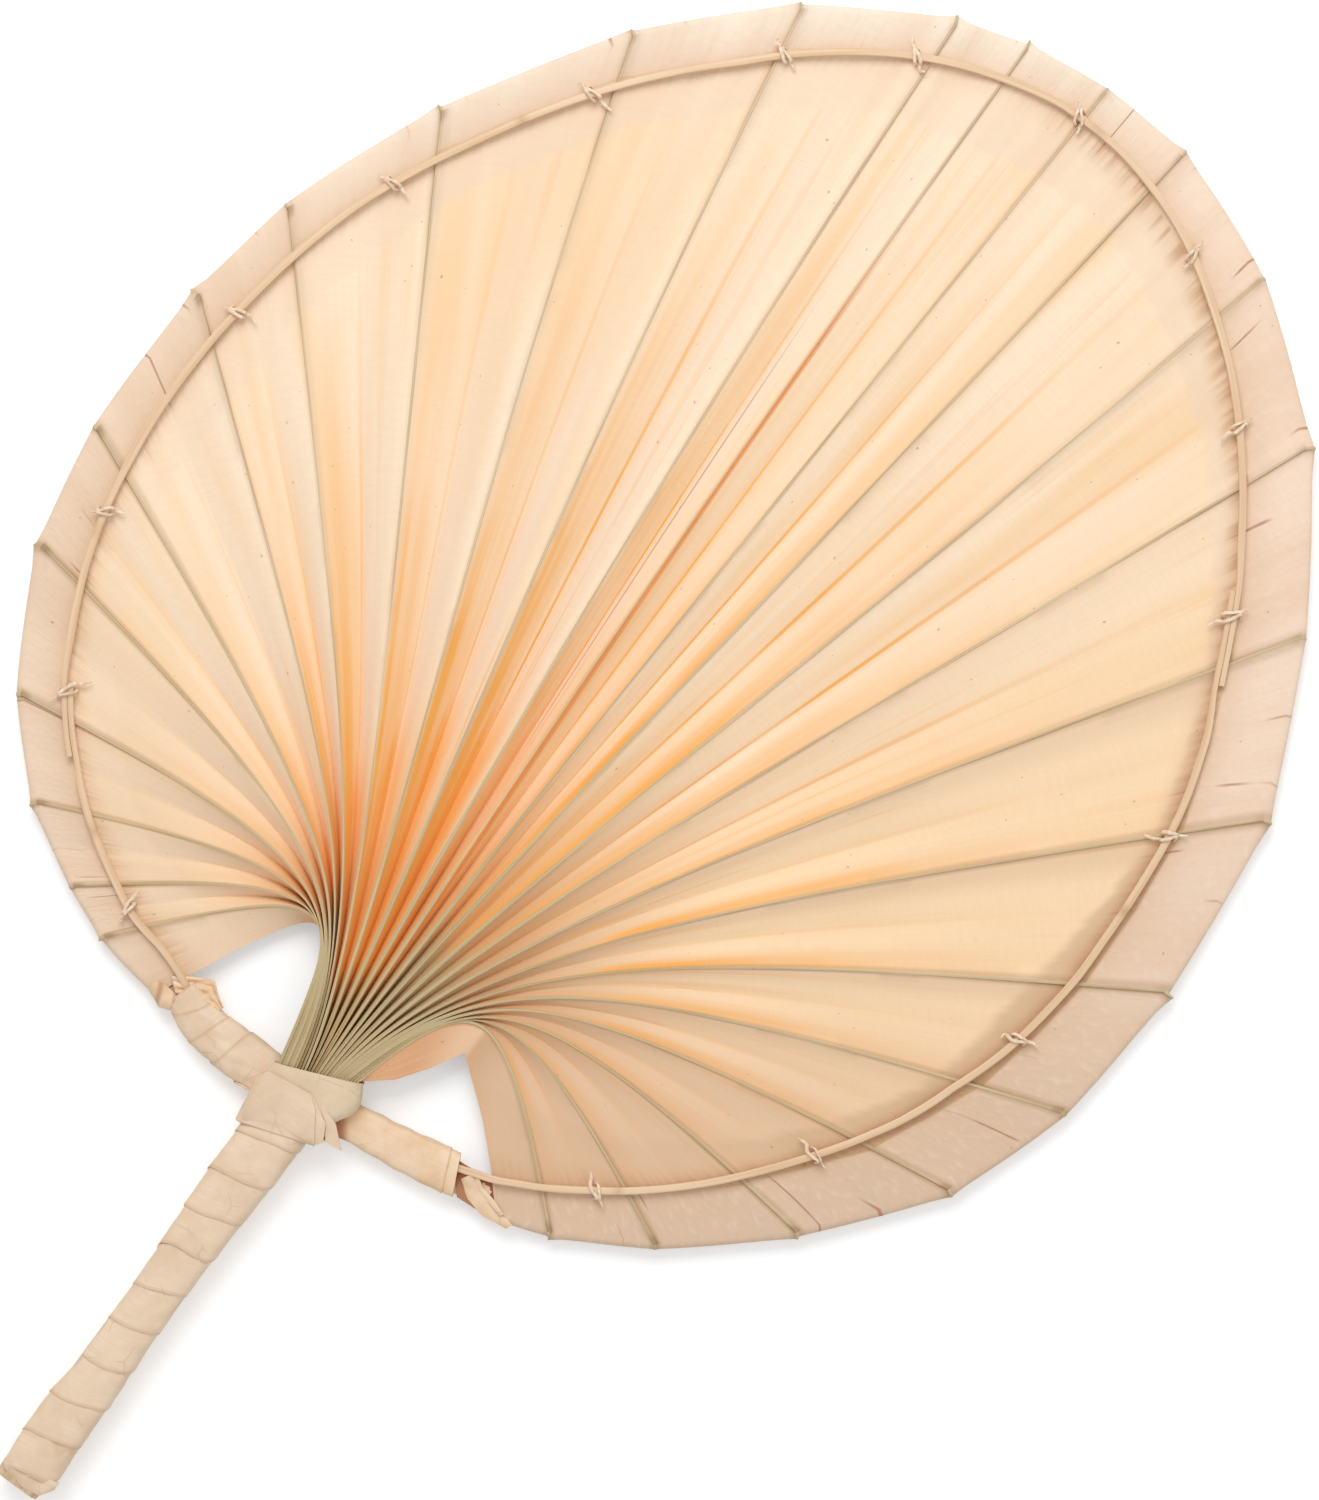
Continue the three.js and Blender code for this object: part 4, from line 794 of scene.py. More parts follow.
    # Painted shade in the dark gaps between the ribs near the neck
    gap = times(add("ramp", run, 0.1, 0.2, 0.8, 0), add("ramp", onRib, 0.3, 0.8, 1, 0))
    gap = times(gap, add("ramp", ridge, 24, 24.05, 1, 0))
    colour = add("mix", gap, colour, look["gap"])
    bare = times(add("ramp", run, 0.25, 0.35), add("ramp", run, 0.8, 0.9, 1, 0))
    bare = times(bare, add("ramp", away(ridge, look["orangeRidge"]), 0.2, 0.3, 0.75, 0))
    onKhaki = times(onRib, add("ramp", run, 0.3, 0.75, 1.0, add("ramp", ridge, 16, 19, 0.9, 1)))
    onKhaki = times(onKhaki, add("SUBTRACT", 1.0, bare))
    colour = add("mix", onKhaki, colour, khaki)
    atCorner = times(add("ramp", away(across, 0.5), 0.455, 0.49), add("ramp", rimGap, 3.4, 0.6))
    cornerSide = add("MAXIMUM", add("ramp", ridge, 9, 7, 0.2, 0.6), add("ramp", ridge, 18.5, 20.5, 0, 0.6))
    atCorner = times(atCorner, add("ramp", splintGap, -22.5, -21.5), cornerSide)
    colour = add("mix", atCorner, colour, look["corner"])
    specks = add("ramp", grain(add, uv, (21, 11, 1), 0, 0.5, (2, 9, 4)), 0.85, 0.89, 0.0, 0.5)
    colour = add("mix", specks, colour, look["stain"])
    colour = add("mix", add("ramp", crossVeins, 0.42, 0.6, 0.0, 0.07), colour, look["hemShade"])
    height = add("ADD", veins, add("MULTIPLY", crossVeins, 0.4))
    height = add("ADD", height, times(bumps, add("ramp", splintGap, 0.4, -0.4), 2.2))
    surface(add, look, colour, height)
    return material


stripLook = {
    "pale": "#f1d8bc", "shade": "#e4c7a8", "edge": "#c9a67e", "inner": "#a05a2c",
    "neckPale": "#ecd7bb", "neckShade": "#dfc8a6", "sleevePale": "#f7dbbc", "sleeveShade": "#eac49c",
    "roughness": 0.55, "strength": 0.45, "relief": 0.18,
}


# Strips cut from the same leaf and bound on damp: smoother than the blade, with a few pressed creases
def boundLeafStrip(name="boundLeafStrip", pale="pale", shade="shade"):
    look = shades(stripLook)
    material, add = emptyNodes(bpy.data.materials.new(name))
    uv, place = add("map"), add("place")
    # The map is in millimetres along and across the strip: fibres 0.5 mm apart, mottling 8 mm wide
    fibres = grain(add, uv, (0.05, 2.2, 1), 3, 0.6)
    mottle = grain(add, place, (130, 130, 130))
    wrinkles = grain(add, place, (420, 420, 420), 2, 0.5, (3, 1, 2))
    # Pressed creases: straight lines between cells about 11 mm wide, each line only partly seen
    shown = add("ramp", grain(add, place, (160, 160, 160), 1, 0.4, (6, 2, 9)), 0.5, 0.62)
    pressed = add("MULTIPLY", add("ramp", add("cells", place, 90), 0, 0.022, 1, 0), shown)
    colour = add("mix", add("ramp", mottle, 0.3, 0.72), look[pale], look[shade])
    colour = add("mix", add("ramp", fibres, 0.4, 0.72, 0, 0.5), colour, look[shade])
    colour = add("mix", add("MULTIPLY", pressed, 0.35), colour, look["edge"])
    # Strip edges are darker: painted shade where one lies over the next, with some wear
    edgeShadeAndWear = add("ramp", add("fact", attribute_name="edge"), 0.8, 1, 0, 0.5)
    colour = add("mix", edgeShadeAndWear, colour, look["edge"])
    # Painted shade in the sleeve's open start, the crumpled folds and the hollow under the rim strips
    inside = add("ramp", add("fact", attribute_name="paintedShade"), 0, 1)
    colour = add("mix", inside, colour, look["inner"])
    height = add("ADD", add("MULTIPLY", fibres, 0.5), add("MULTIPLY", wrinkles, 0.8))
    surface(add, look, colour, add("SUBTRACT", height, add("MULTIPLY", pressed, 0.6)))
    return material


splintLook = {
    "skin": "#efd1b0", "shade": "#dfb88f", "joint": "#c29a6c",
    "roughness": 0.45, "strength": 0.5, "relief": 0.1,
}


# Split bamboo: a hard skin with straight fibres, a little glossy, darker at its joints
def splitBamboo():
    look = shades(splintLook)
    material, add = emptyNodes(bpy.data.materials.new("splitBamboo"))
    # The map is in millimetres: fibres 0.2 mm apart, broad shades 1.7 mm wide
    uv = add("map")
    fibres = grain(add, uv, (0.04, 5, 1), 3, 0.6)
    broad = grain(add, uv, (0.02, 0.6, 1), 2, 0.5, (4, 4, 4))
    colour = add("mix", add("ramp", broad, 0.3, 0.7), look["skin"], look["shade"])
    colour = add("mix", add("ramp", fibres, 0.45, 0.8, 0, 0.4), colour, look["shade"])
    joint = add("MULTIPLY", add("fact", attribute_name="joint"), 0.7)
    surface(add, look, add("mix", joint, colour, look["joint"]), fibres)
    return material


threadLook = {"light": "#f8e6cf", "dark": "#e3c3a2", "roughness": 0.75, "strength": 0.6, "relief": 0.1}


# Palm fibre thread: dull, with loose fibres that show as fine mottling, 1 mm apart
def fibreThread():
    look = shades(threadLook)
    material, add = emptyNodes(bpy.data.materials.new("fibreThread"))
    fluff = grain(add, add("place"), (900, 900, 900), 3, 0.6)
    surface(add, look, add("mix", add("ramp", fluff, 0.3, 0.7), look["light"], look["dark"]), fluff)
    return material


woodLook = {"light": "#e2c9a6", "dark": "#c2a27c", "roughness": 0.6, "strength": 0.4, "relief": 0.1}


# Bare softwood stick, whittled: open straight grain, 1.4 mm from ring to ring
def whittledWood():
    look = shades(woodLook)
    material, add = emptyNodes(bpy.data.materials.new("whittledWood"))
    rings = grain(add, add("place"), (700, 18, 700), 3, 0.6)
    surface(add, look, add("mix", add("ramp", rings, 0.35, 0.7), look["light"], look["dark"]), rings)
    return material


leafMaterial = driedPalmLeaf()
stripMaterial = boundLeafStrip()
neckMaterial = boundLeafStrip("greenerLeafStrip", "neckPale", "neckShade")
sleeveMaterial = boundLeafStrip("ruddyLeafStrip", "sleevePale", "sleeveShade")
bambooMaterial = splitBamboo()
threadMaterial = fibreThread()
woodMaterial = whittledWood()
print("materials made")


# The blade

def makeLeaf():
    where, facts, uv = leafSheet()
    leaf = sheetPiece("palmLeafBlade", where, uv, facts)
    ribs = [point.value for point in leaf.data.attributes["rib"].data]
    wall = leaf.vertex_groups.new(name="wall")
    for index, onRib in enumerate(ribs):
        wall.add([index], lerp(blade["skinShare"], 1, smoothStep(onRib, 0.1, 0.3)), "REPLACE")
    giveWall(leaf, blade["thickness"], group="wall")
    smooth(leaf, 38)
    finish(leaf, leafMaterial, "leaf_blade")
    print("leaf:", len(leaf.data.polygons), "faces")


makeLeaf()


# A bar of rounded section along a path: frames give its place, its sideways direction and its height
def barPiece(name, frames, sides, section, joints=()):
    where = np.zeros((len(frames), sides + 1, 3))
    uv = np.zeros((len(frames), sides + 1, 2))
    facts = {"joint": np.zeros((len(frames), sides + 1))}
    run = runAlong([at for at, across, up in frames])
    for i, (at, across, up) in enumerate(frames):
        nearJoint = max([math.exp(-((run[i] - spot) / 1.1) ** 2) for spot in joints] + [0])
        for j in range(sides + 1):
            a, b = section(j / sides, i / (len(frames) - 1))
            where[i, j] = at + across * a + up * b
            uv[i, j] = (run[i], j / sides * 7)
            facts["joint"][i, j] = nearJoint
    return sheetPiece(name, where, uv, facts)


def roundedBox(halfWidth, halfHeight, roundness, share):
    angle = 2 * math.pi * share
    a, b = math.sin(angle), math.cos(angle)
    power = 2 / roundness
    return (
        halfWidth * math.copysign(abs(a) ** power, a),
        halfHeight * math.copysign(abs(b) ** power, b),
    )


upVector = np.array((0, 0, 1.0))
acrossVector = np.array((1.0, 0, 0))


# Where two splints lie side by side: 1 along the lap, easing to 0 beyond its ends
def nearLap(share, lap):
    run = splints["lapRun"] / rimLength
    return smoothStep(share, lap[0] - run, lap[0]) * (1 - smoothStep(share, lap[1], lap[1] + run))


firstLap = (mainSplint[0], leftSplintEnd)
secondLap = (rightSplintStart, mainSplint[1])


# Sides says which way the splint moves over at the first lap and at the second
def makeSplint(name, node, start, end, sides=(0, 0), back=False):
    low, high = (0, backHigh) if back else (splintLow, splintHigh)
    steps = int((end - start) * splints["stepsRound"])
    frames = []
    for i in range(steps + 1):
        share = lerp(start, end, i / steps)
        aside = sides[0] * nearLap(share, firstLap) + sides[1] * nearLap(share, secondLap)
        onArm = 1 - min(max(fromArms(share) / splints["rise"], 0), 1)
        rise = 0 if back else onArm * (hoopHigh + 0.3 - low)
        wander = uneven(0.12, share * 60, start * 10, 4)
        at, into, _ = rimAt(share, splintInset(share) + lapShift * aside + wander)
        centre = np.array((at[0], at[1], (low + high) / 2 + rise))
        frames.append((centre, np.array((into[0], into[1], 0)), upVector))
    notches = [tie for tie in tieShares if start < tie < end] if back else []

    def section(around, along):
        a, b = roundedBox(splints["width"] * splints["shown"] / 2, (high - low) / 2, 5, around)
        share = lerp(start, end, along)
        nearest = min([abs(share - tie) * rimLength for tie in notches] + [9])
        if b < 0:
            b += 1.15 * (1 - smoothStep(nearest, 0.6, 1.4))  # a notch below lets the thread through
        width = 1 + uneven(0.07, along * 40, start * 9, 2)
        lapped = 0 if back else max(nearLap(share, firstLap), nearLap(share, secondLap))
        return a * width * lerp(1, splints["lapWidth"], lapped), b

    length = (end - start) * rimLength
    joints = np.arange(splints["jointStart"], length - 20, splints["jointStep"]) + random.uniform(-15, 15)
    piece = barPiece(name, frames, 20, section, joints)
    closeEnds(piece)
    smooth(piece, 50)
    finish(piece, bambooMaterial, node)


tuck, setback, backGap = (splints[key] / rimLength for key in ("tuck", "setback", "backGap"))
makeSplint("frontSplintLeft", "front_splint_left", leftArmEnd - tuck, leftSplintEnd, (1, 0))
makeSplint("frontSplintMain", "front_splint_main", *mainSplint, (-1, -1))
makeSplint("frontSplintRight", "front_splint_right", rightSplintStart, rightArmEnd + tuck, (0, 1))
makeSplint("backSplintLeft", "back_splint_left", leftLeafStart + setback, backButt, back=True)
makeSplint("backSplintRight", "back_splint_right", backButt + backGap, rightLeafEnd - setback, back=True)
print("splints made")


# Thread ties

ties = {"width": 0.44, "thickness": 0.28, "reach": 0.65, "tail": 2.6, "gap": 1.2, "spread": 0.8}


def jitter(size):
    return random.uniform(-size, size)


# The thread's way through one tie: across the splints, along them, and height
def threadRoute(reach):
    tailZ, topZ = splintLow + 0.3, splintHigh + 0.42
    low, under = splintLow - 0.3, 0.5
    gap, spread, tail = ties["gap"] + jitter(0.25), ties["spread"], ties["tail"]
    return [
        (reach + tail + jitter(1.2), -gap - spread - jitter(0.9), tailZ + 0.4 + jitter(0.3)),
        (reach + tail * 0.55, -gap - spread * 0.5 + jitter(0.5), tailZ + 0.3 + jitter(0.2)),
        (reach, -gap, tailZ + 0.2), (reach - 0.1, -gap, splintHigh), (reach - 0.5, -gap, topZ),
        (0, -gap * 0.4, topZ + 0.1), (-reach + 0.5, gap / 2, topZ), (-reach, gap / 2, splintHigh),
        (-reach, 0, low), (-reach, 0, 2.2), (-reach + 0.4, 0, under), (0, 0, under - 0.05),
        (reach - 0.4, 0, under), (reach, 0, 2.2), (reach, 0, low), (reach, gap / 4, splintHigh),
        (reach - 0.5, gap / 2, topZ), (0, gap * 0.75, topZ + 0.35), (-reach + 0.5, gap, topZ),
        (-reach, gap, splintHigh), (-reach - 0.1, gap, tailZ + 0.2),
        (-reach - tail * 0.45 + jitter(0.5), gap + spread * 0.5 + jitter(0.6), tailZ + 0.3 + jitter(0.2)),
        (-reach - tail * 0.8 + jitter(0.9), gap + spread + jitter(0.8), tailZ + 0.4 + jitter(0.3)),
    ]


# Runs a smooth curve through points and returns it at even steps
def smoothPath(points, spacing):
    points = np.array(points, dtype=float)
    padded = np.vstack((2 * points[0] - points[1], points, 2 * points[-1] - points[-2]))
    walked = []
    for i in range(1, len(padded) - 2):
        a, b, c, d = padded[i - 1:i + 3]
        for t in np.linspace(0, 1, 12, endpoint=False):
            bend = (2 * a - 5 * b + 4 * c - d) * t ** 2 + (-a + 3 * b - 3 * c + d) * t ** 3
            walked.append(0.5 * (2 * b + (c - a) * t + bend))
    walked = np.array([*walked, points[-1]])
    run = runAlong(walked)
    at = np.linspace(0, run[-1], int(run[-1] / spacing) + 1)
    return np.column_stack([np.interp(at, run, walked[:, k]) for k in range(3)])


def strand(name, path):
    frames = []
    up = upVector
    for i, at in enumerate(path):
        along = path[min(i + 1, len(path) - 1)] - path[max(i - 1, 0)]
        along /= np.linalg.norm(along)
        up = up - along * up.dot(along)
        up /= np.linalg.norm(up)
        frames.append((at, np.cross(along, up), up))

    def section(around, along):
        fray = 1 - 0.45 * smoothStep(abs(along - 0.5), 0.42, 0.5)
        lumps = 1 + uneven(0.3, along * 45, 0, path[0][0])
        angle = 2 * math.pi * around
        return ties["width"] * fray * lumps * math.sin(angle), ties["thickness"] * fray * math.cos(angle)

    return barPiece(name, frames, 8, section)


def makeTie(index, share):
    lapped = nearLap(share, firstLap) + nearLap(share, secondLap) > 0.5
    reach = (lapShift + splints["width"] * 0.38 if lapped else splints["width"] / 2) + ties["reach"]
    at, into, tangent = rimAt(share, splintInset(share))
    route = [np.array((*(at + into * a - tangent * b), z)) for a, b, z in threadRoute(reach)]
    tie = strand(f"threadTie{index + 1:02d}", smoothPath(route, 0.25))
    closeEnds(tie)
    smooth(tie, 60)
    finish(tie, threadMaterial, f"stitch_{index + 1:02d}")


for tieIndex, tieShare in enumerate(tieShares):
    makeTie(tieIndex, tieShare)
print("ties made")


# Strips wound round the arms and the handle

# The way round a rounded box by even lengths
def evenTurns(halfWidth, halfHeight, roundness):
    shares = np.linspace(0, 1, 721)
    run = runAlong([roundedBox(halfWidth, halfHeight, roundness, share) for share in shares])
    return lambda share: float(np.interp(share % 1, run / run[-1], shares))


# A strip wound round a bar in overlapping turns, with more turns pressed flat at its early and late ends.
# frameAt gives the place, the sideways direction and half the width at a distance along the bar. Lap says
# which edge lies on top, and hand which way round the strip goes
def wound(name, frameAt, shape):
    turns, width, length, hand = shape["turns"], shape["width"], shape["length"], shape["hand"]
    pitch = (length - width) / turns
    start = -shape["early"] * shape["steps"]
    columns = int((turns + shape["early"] + shape["late"]) * shape["steps"])
    rows = shape["rows"]
    where = np.zeros((columns + 1, rows + 1, 3))
    uv = np.zeros((columns + 1, rows + 1, 2))
    edge = np.zeros((columns + 1, rows + 1))
    halfHere = frameAt(length / 2)[2]
    around = 4 * (halfHere + shape["halfHeight"])
    evenly = evenTurns(halfHere, shape["halfHeight"], shape["roundness"])
    for i in range(columns + 1):
        turn = (start + i) / shape["steps"]
        sway = uneven(shape["sway"], turn * 3.8, shape["seed"], 1)
        for j in range(rows + 1):
            across = j / rows - 0.5
            ruffle = uneven(shape["ruffle"], turn * 14, across * 3, shape["seed"])
            along = width / 2 + pitch * turn + across * width + sway
            along = max(along, along * 0.02)  # what would pass the ends is pressed flat against them
            along = min(along, length + (along - length) * 0.02)
            lifted = shape["lap"] * across  # one edge lies over the turn before
            out = shape["step"] * (0.5 - lifted) + shape["lift"] + ruffle
            at, sideways, half = frameAt(along)
            a, b = roundedBox(half + out, shape["halfHeight"] + out, shape["roundness"], evenly(hand * turn))
            leaning = shape.get("endLean", 0) * (a + half) * (1 - smoothStep(along, 0, 12))
            where[i, j] = at + sideways * a + upVector * b + np.array((0, leaning, 0))
            uv[i, j] = (turn * around, j / rows * width)
            edge[i, j] = max(lifted * -2, 0)
    piece = sheetPiece(name, where, uv, {"edge": edge})
    faceOut(piece)
    giveWall(piece, shape["thickness"])
    smooth(piece)
    return piece


def armFrame(share, inset):
    at, into, _ = rimAt(share, inset)
    return np.array((at[0], at[1], arms["height"])), np.array((into[0], into[1], 0))


leftArm = {
    "turns": 2.6, "early": 0.8, "late": 0.9, "width": 12.5, "length": arms["leftLength"] + 4.8, "steps": 80,
    "rows": 12, "roundness": 3.2, "halfHeight": arms["halfHeight"], "step": 0.45, "lift": 0.25, "lap": -1,
    "hand": -1, "thickness": 0.32, "sway": 0.5, "ruffle": 0.22, "seed": 4, "start": 8.4, "halfWidth": 5.05,
    "bulge": 0.25, "taper": 1.4,
}


def leftArmFrame(along):
    at, sideways = armFrame((leftArm["start"] + along) / rimLength, arms["centre"])
    half = leftArm["halfWidth"] + leftArm["bulge"] * math.sin(along / 4.5)
    return at, sideways, half - leftArm["taper"] * smoothStep(along, 22, leftArm["length"])


leftWrap = wound("leftArmWrap", leftArmFrame, leftArm)
finish(leftWrap, stripMaterial, "left_arm_wrap")

handle = {
    "turns": 8.6, "early": 1, "late": 0.9, "width": 13, "length": 107.4, "steps": 80, "rows": 12,
    "roundness": 3.5, "halfHeight": 4.4, "step": 0.34, "lift": 0.15, "lap": 1, "hand": 1, "thickness": 0.3,
    "sway": 1.5, "ruffle": 0.16, "seed": 9, "endLean": 0.2, "winding": 0.55,
    "reveal": 3,  # how much of the stick's end shows
    # rows of height, half width and sideways shift: the strips bulge at both ends of the grip
    "places": [
        (-121, 6.7, 1.0), (-113, 6.95, 0.4), (-101.6, 7.0, 0), (-90, 6.35, 0.5), (-78, 6.05, 0.15),
        (-66, 6.05, 0), (-55, 6.4, -0.3), (-45, 6.95, -0.4), (-34, 7.5, -0.5), (-20, 7.7, -0.3),
    ],
}
handleHeight = (stickLow.z + stickHigh.z) * 500


def handleFrame(along):
    y = -handleReach + handle["reveal"] + along
    half, shift = readShares(handle["places"], y)
    return np.array((shift, y, handleHeight)), acrossVector, half - handle["winding"]


handleWrap = wound("handleWrap", handleFrame, handle)
print("windings made")


# A tube wall round the right arm or the neck, from rings of rounded boxes
def sleeve(name, rings, sides, thickness, paintedShade=None, fibresAlong=False):
    where = np.zeros((len(rings), sides + 1, 3))
    uv = np.zeros((len(rings), sides + 1, 2))
    facts = {"edge": np.zeros((len(rings), sides + 1)), "paintedShade": np.zeros((len(rings), sides + 1))}
    run = 0.0
    for i, (at, across, halfWidth, halfHeight, roundness, slant) in enumerate(rings):
        evenly = evenTurns(halfWidth, halfHeight, roundness)
        if i:
            run += float(np.linalg.norm(at - rings[i - 1][0]))
        for j in range(sides + 1):
            a, b = roundedBox(halfWidth, halfHeight, roundness, evenly(j / sides))
            ripple = uneven(0.14, math.sin(2 * math.pi * j / sides) * 2, run / 4, b)
            a, b = a * (1 + ripple / halfWidth), b * (1 + ripple / halfHeight)
            where[i, j] = at + across * a + upVector * b + slant(a)
            girth = j / sides * 4 * (halfWidth + halfHeight)
            uv[i, j] = (run, girth) if fibresAlong else (girth, run)
            facts["edge"][i, j] = (abs(i / (len(rings) - 1) - 0.5) * 2) ** 6
            facts["paintedShade"][i, j] = paintedShade(run, a) if paintedShade else 0
    piece = sheetPiece(name, where, uv, facts)
    mergeSeam(piece)
    faceOut(piece)
    giveWall(piece, thickness, 1)
    smooth(piece)
    return piece


rightArm = {
    "start": 10.8,
    "inset": (5.6, 5.9),  # at the neck and at the far end, as is the half width
    "halfWidth": (3.9, 4.8),
    "slant": 0.3,
    "hem": 2.6,
    "hemLength": 9,
    "over": 0.32,  # the outer layer's size over the hem's
    "wall": 0.3,
    "short": 2.6,
    "rings": 28,
    "sides": 72,
}


def rightArmRings(start, end, outward):
    rings = []
    for i in range(rightArm["rings"] + 1):
        along = lerp(start, end, i / rightArm["rings"])
        t = (along - rightArm["start"]) / (arms["rightLength"] + arms["start"] - rightArm["start"])
        at, across = armFrame(1 - along / rimLength, lerp(*rightArm["inset"], t))
        half = lerp(*rightArm["halfWidth"], t) + 0.1 * math.sin(i * 0.9) + outward
        slant = lambda a, lean=rightArm["slant"] * t: np.array((-lean * a, 0, 0))
        rings.append((at, across, half, arms["halfHeight"] + outward, 3.4, slant))
    return rings


def makeRightSleeve():
    start, end = rightArm["start"], arms["start"] + arms["rightLength"] - rightArm["short"]
    # Painted shade just inside the sleeve's open start
    shaded = lambda run, a: 0.75 * (1 - smoothStep(run + 0.5 * a, 0.6, 4.2))
    rings = rightArmRings(start, end - rightArm["hem"], rightArm["over"])
    outer = sleeve("rightArmWrap", rings, rightArm["sides"], rightArm["wall"], shaded, True)
    rings = rightArmRings(end - rightArm["hemLength"], end, 0)
    hem = sleeve("rightArmHem", rings, rightArm["sides"], rightArm["wall"], None, True)
    joinPieces(outer, hem)
    finish(outer, sleeveMaterial, "right_arm_wrap")


makeRightSleeve()


# The neck's bands

neckBand = {
    "halfWidth": 9.85, "low": 2.45, "high": 11.85, "end": -11.7, "rise": 4.1, "wall": 0.4, "bulge": 2.4,
    "rings": 30, "sides": 96, "roundness": 4.5,
}
lowerBand = {
    "halfWidth": 10.55, "endHalfWidth": 9.2, "top": -12, "length": 5.5, "slant": 3.2, "wall": 0.4,
    "rings": 18, "taper": 0.75,
}
lowerLow, lowerTop = heights("neck_wrap_lower")


def upperRings():
    rings = []
    half, low, high = neckBand["halfWidth"], neckBand["low"], neckBand["high"]
    for i in range(neckBand["rings"] + 1):
        t = i / neckBand["rings"]
        bulge = neckBand["bulge"] * math.sin(math.pi * min(t * 1.35, 1)) ** 1.5
        slant = lambda a, t=t, bulge=bulge: np.array((
            bulge * max(a / half, 0) ** 2, (1 - t) * neckBand["rise"] * a / half, 0))
        at = np.array((bundle["centre"], lerp(0, neckBand["end"], t), (low + high) / 2))
        rings.append((at, acrossVector, half, (high - low) / 2, neckBand["roundness"], slant))
    return rings


def lowerRings():
    rings = []
    low, high = lowerLow + 0.5, lowerTop - 1.0
    for i in range(lowerBand["rings"] + 1):
        t = i / lowerBand["rings"]
        half = lerp(lowerBand["halfWidth"], lowerBand["endHalfWidth"], t)
        slant = lambda a, t=t, half=half: np.array((0, t * lowerBand["slant"] * a / half, 0))
        at = np.array((bundle["centre"], lowerBand["top"] - lowerBand["length"] * t, (low + high) / 2))
        halfHeight = (high - low) / 2 - lowerBand["taper"] * t
        rings.append((at, acrossVector, half, halfHeight, neckBand["roundness"], slant))
    return rings


upperBand = sleeve("neckWrapUpper", upperRings(), neckBand["sides"], neckBand["wall"])
finish(upperBand, neckMaterial, "neck_wrap_upper")
lowerSleeve = sleeve("neckWrapLower", lowerRings(), neckBand["sides"], lowerBand["wall"])


# A flat piece of strip between two edges, each a row of points from left to right
def patch(name, topEdge, lowEdge, height, columns, rows, paintedShade=None, rough=0.15, thickness=0.32):
    def along(edgePoints, t):
        points = np.array(edgePoints, dtype=float)
        run = runAlong(points)
        return np.array([np.interp(t * run[-1], run, points[:, k]) for k in range(2)])

    where = np.zeros((columns + 1, rows + 1, 3))
    uv = np.zeros((columns + 1, rows + 1, 2))
    facts = {"edge": np.zeros((columns + 1, rows + 1)), "paintedShade": np.zeros((columns + 1, rows + 1))}
    for i in range(columns + 1):
        for j in range(rows + 1):
            u, v = i / columns, j / rows
            at = lerp(along(lowEdge, u), along(topEdge, u), v)
            bump = uneven(rough, at[0] / 3, at[1] / 3, columns + rows)
            where[i, j] = (at[0], at[1], height(u, v) + bump)
            uv[i, j] = (at[0], at[1])
            facts["edge"][i, j] = (max(abs(u - 0.5), abs(v - 0.5)) * 2) ** 12
            facts["paintedShade"][i, j] = paintedShade(u, v) if paintedShade else 0
    piece = sheetPiece(name, where, uv, facts)
    faceOut(piece)
    giveWall(piece, thickness)
    smooth(piece)
    return piece


# The lower band's front: a broad flap over the upper band, with a second layer beside its free edge
flapTop = [(-11.3, -8.8), (-9.8, -6.2), (-6.2, -5.7), (1.4, -4.7), (4.5, -7.1), (9.3, -14.2)]
flapLow = [(-9.2, -20.9), (-4.5, -19.2), (0, -17.7), (9.4, -14.5)]
layerTop = [(0.9, -4.5), (3.1, -5.3), (8.6, -8.6), (10.7, -12.6)]
layerLow = [(0.9, -5), (4.2, -7.4), (9.1, -14.1)]
tailTop = [(4.6, -4.9), (10.6, -7.2), (15.4, -11.5)]
tailLow = [(4.4, -5.3), (8.4, -8.6), (11, -12.1)]


def flapHeight(u, v):
    leftCurl = -2.6 * (1 - smoothStep(u, 0, 0.1)) ** 2
    rightCurl = -0.5 * smoothStep(u, 0.85, 1)
    return lowerTop - 0.2 + leftCurl + rightCurl - 1.1 * (1 - v) ** 2 - 1.2 * (1 - v) ** 10


frontFlap = patch("neckFrontFlap", flapTop, flapLow, flapHeight, 44, 30)
underLayer = patch("neckUnderLayer", layerTop, layerLow, lambda u, v: lowerTop - 0.62 - 0.5 * u ** 3, 30, 8)
joinPieces(lowerSleeve, frontFlap, underLayer)
finish(lowerSleeve, stripMaterial, "neck_wrap_lower")

neckTail = patch("neckTail", tailTop, tailLow, lambda u, v: lowerTop - 0.95 - 0.7 * u + 0.4 * u * v, 24, 10)
finish(neckTail, stripMaterial, "neck_tail")


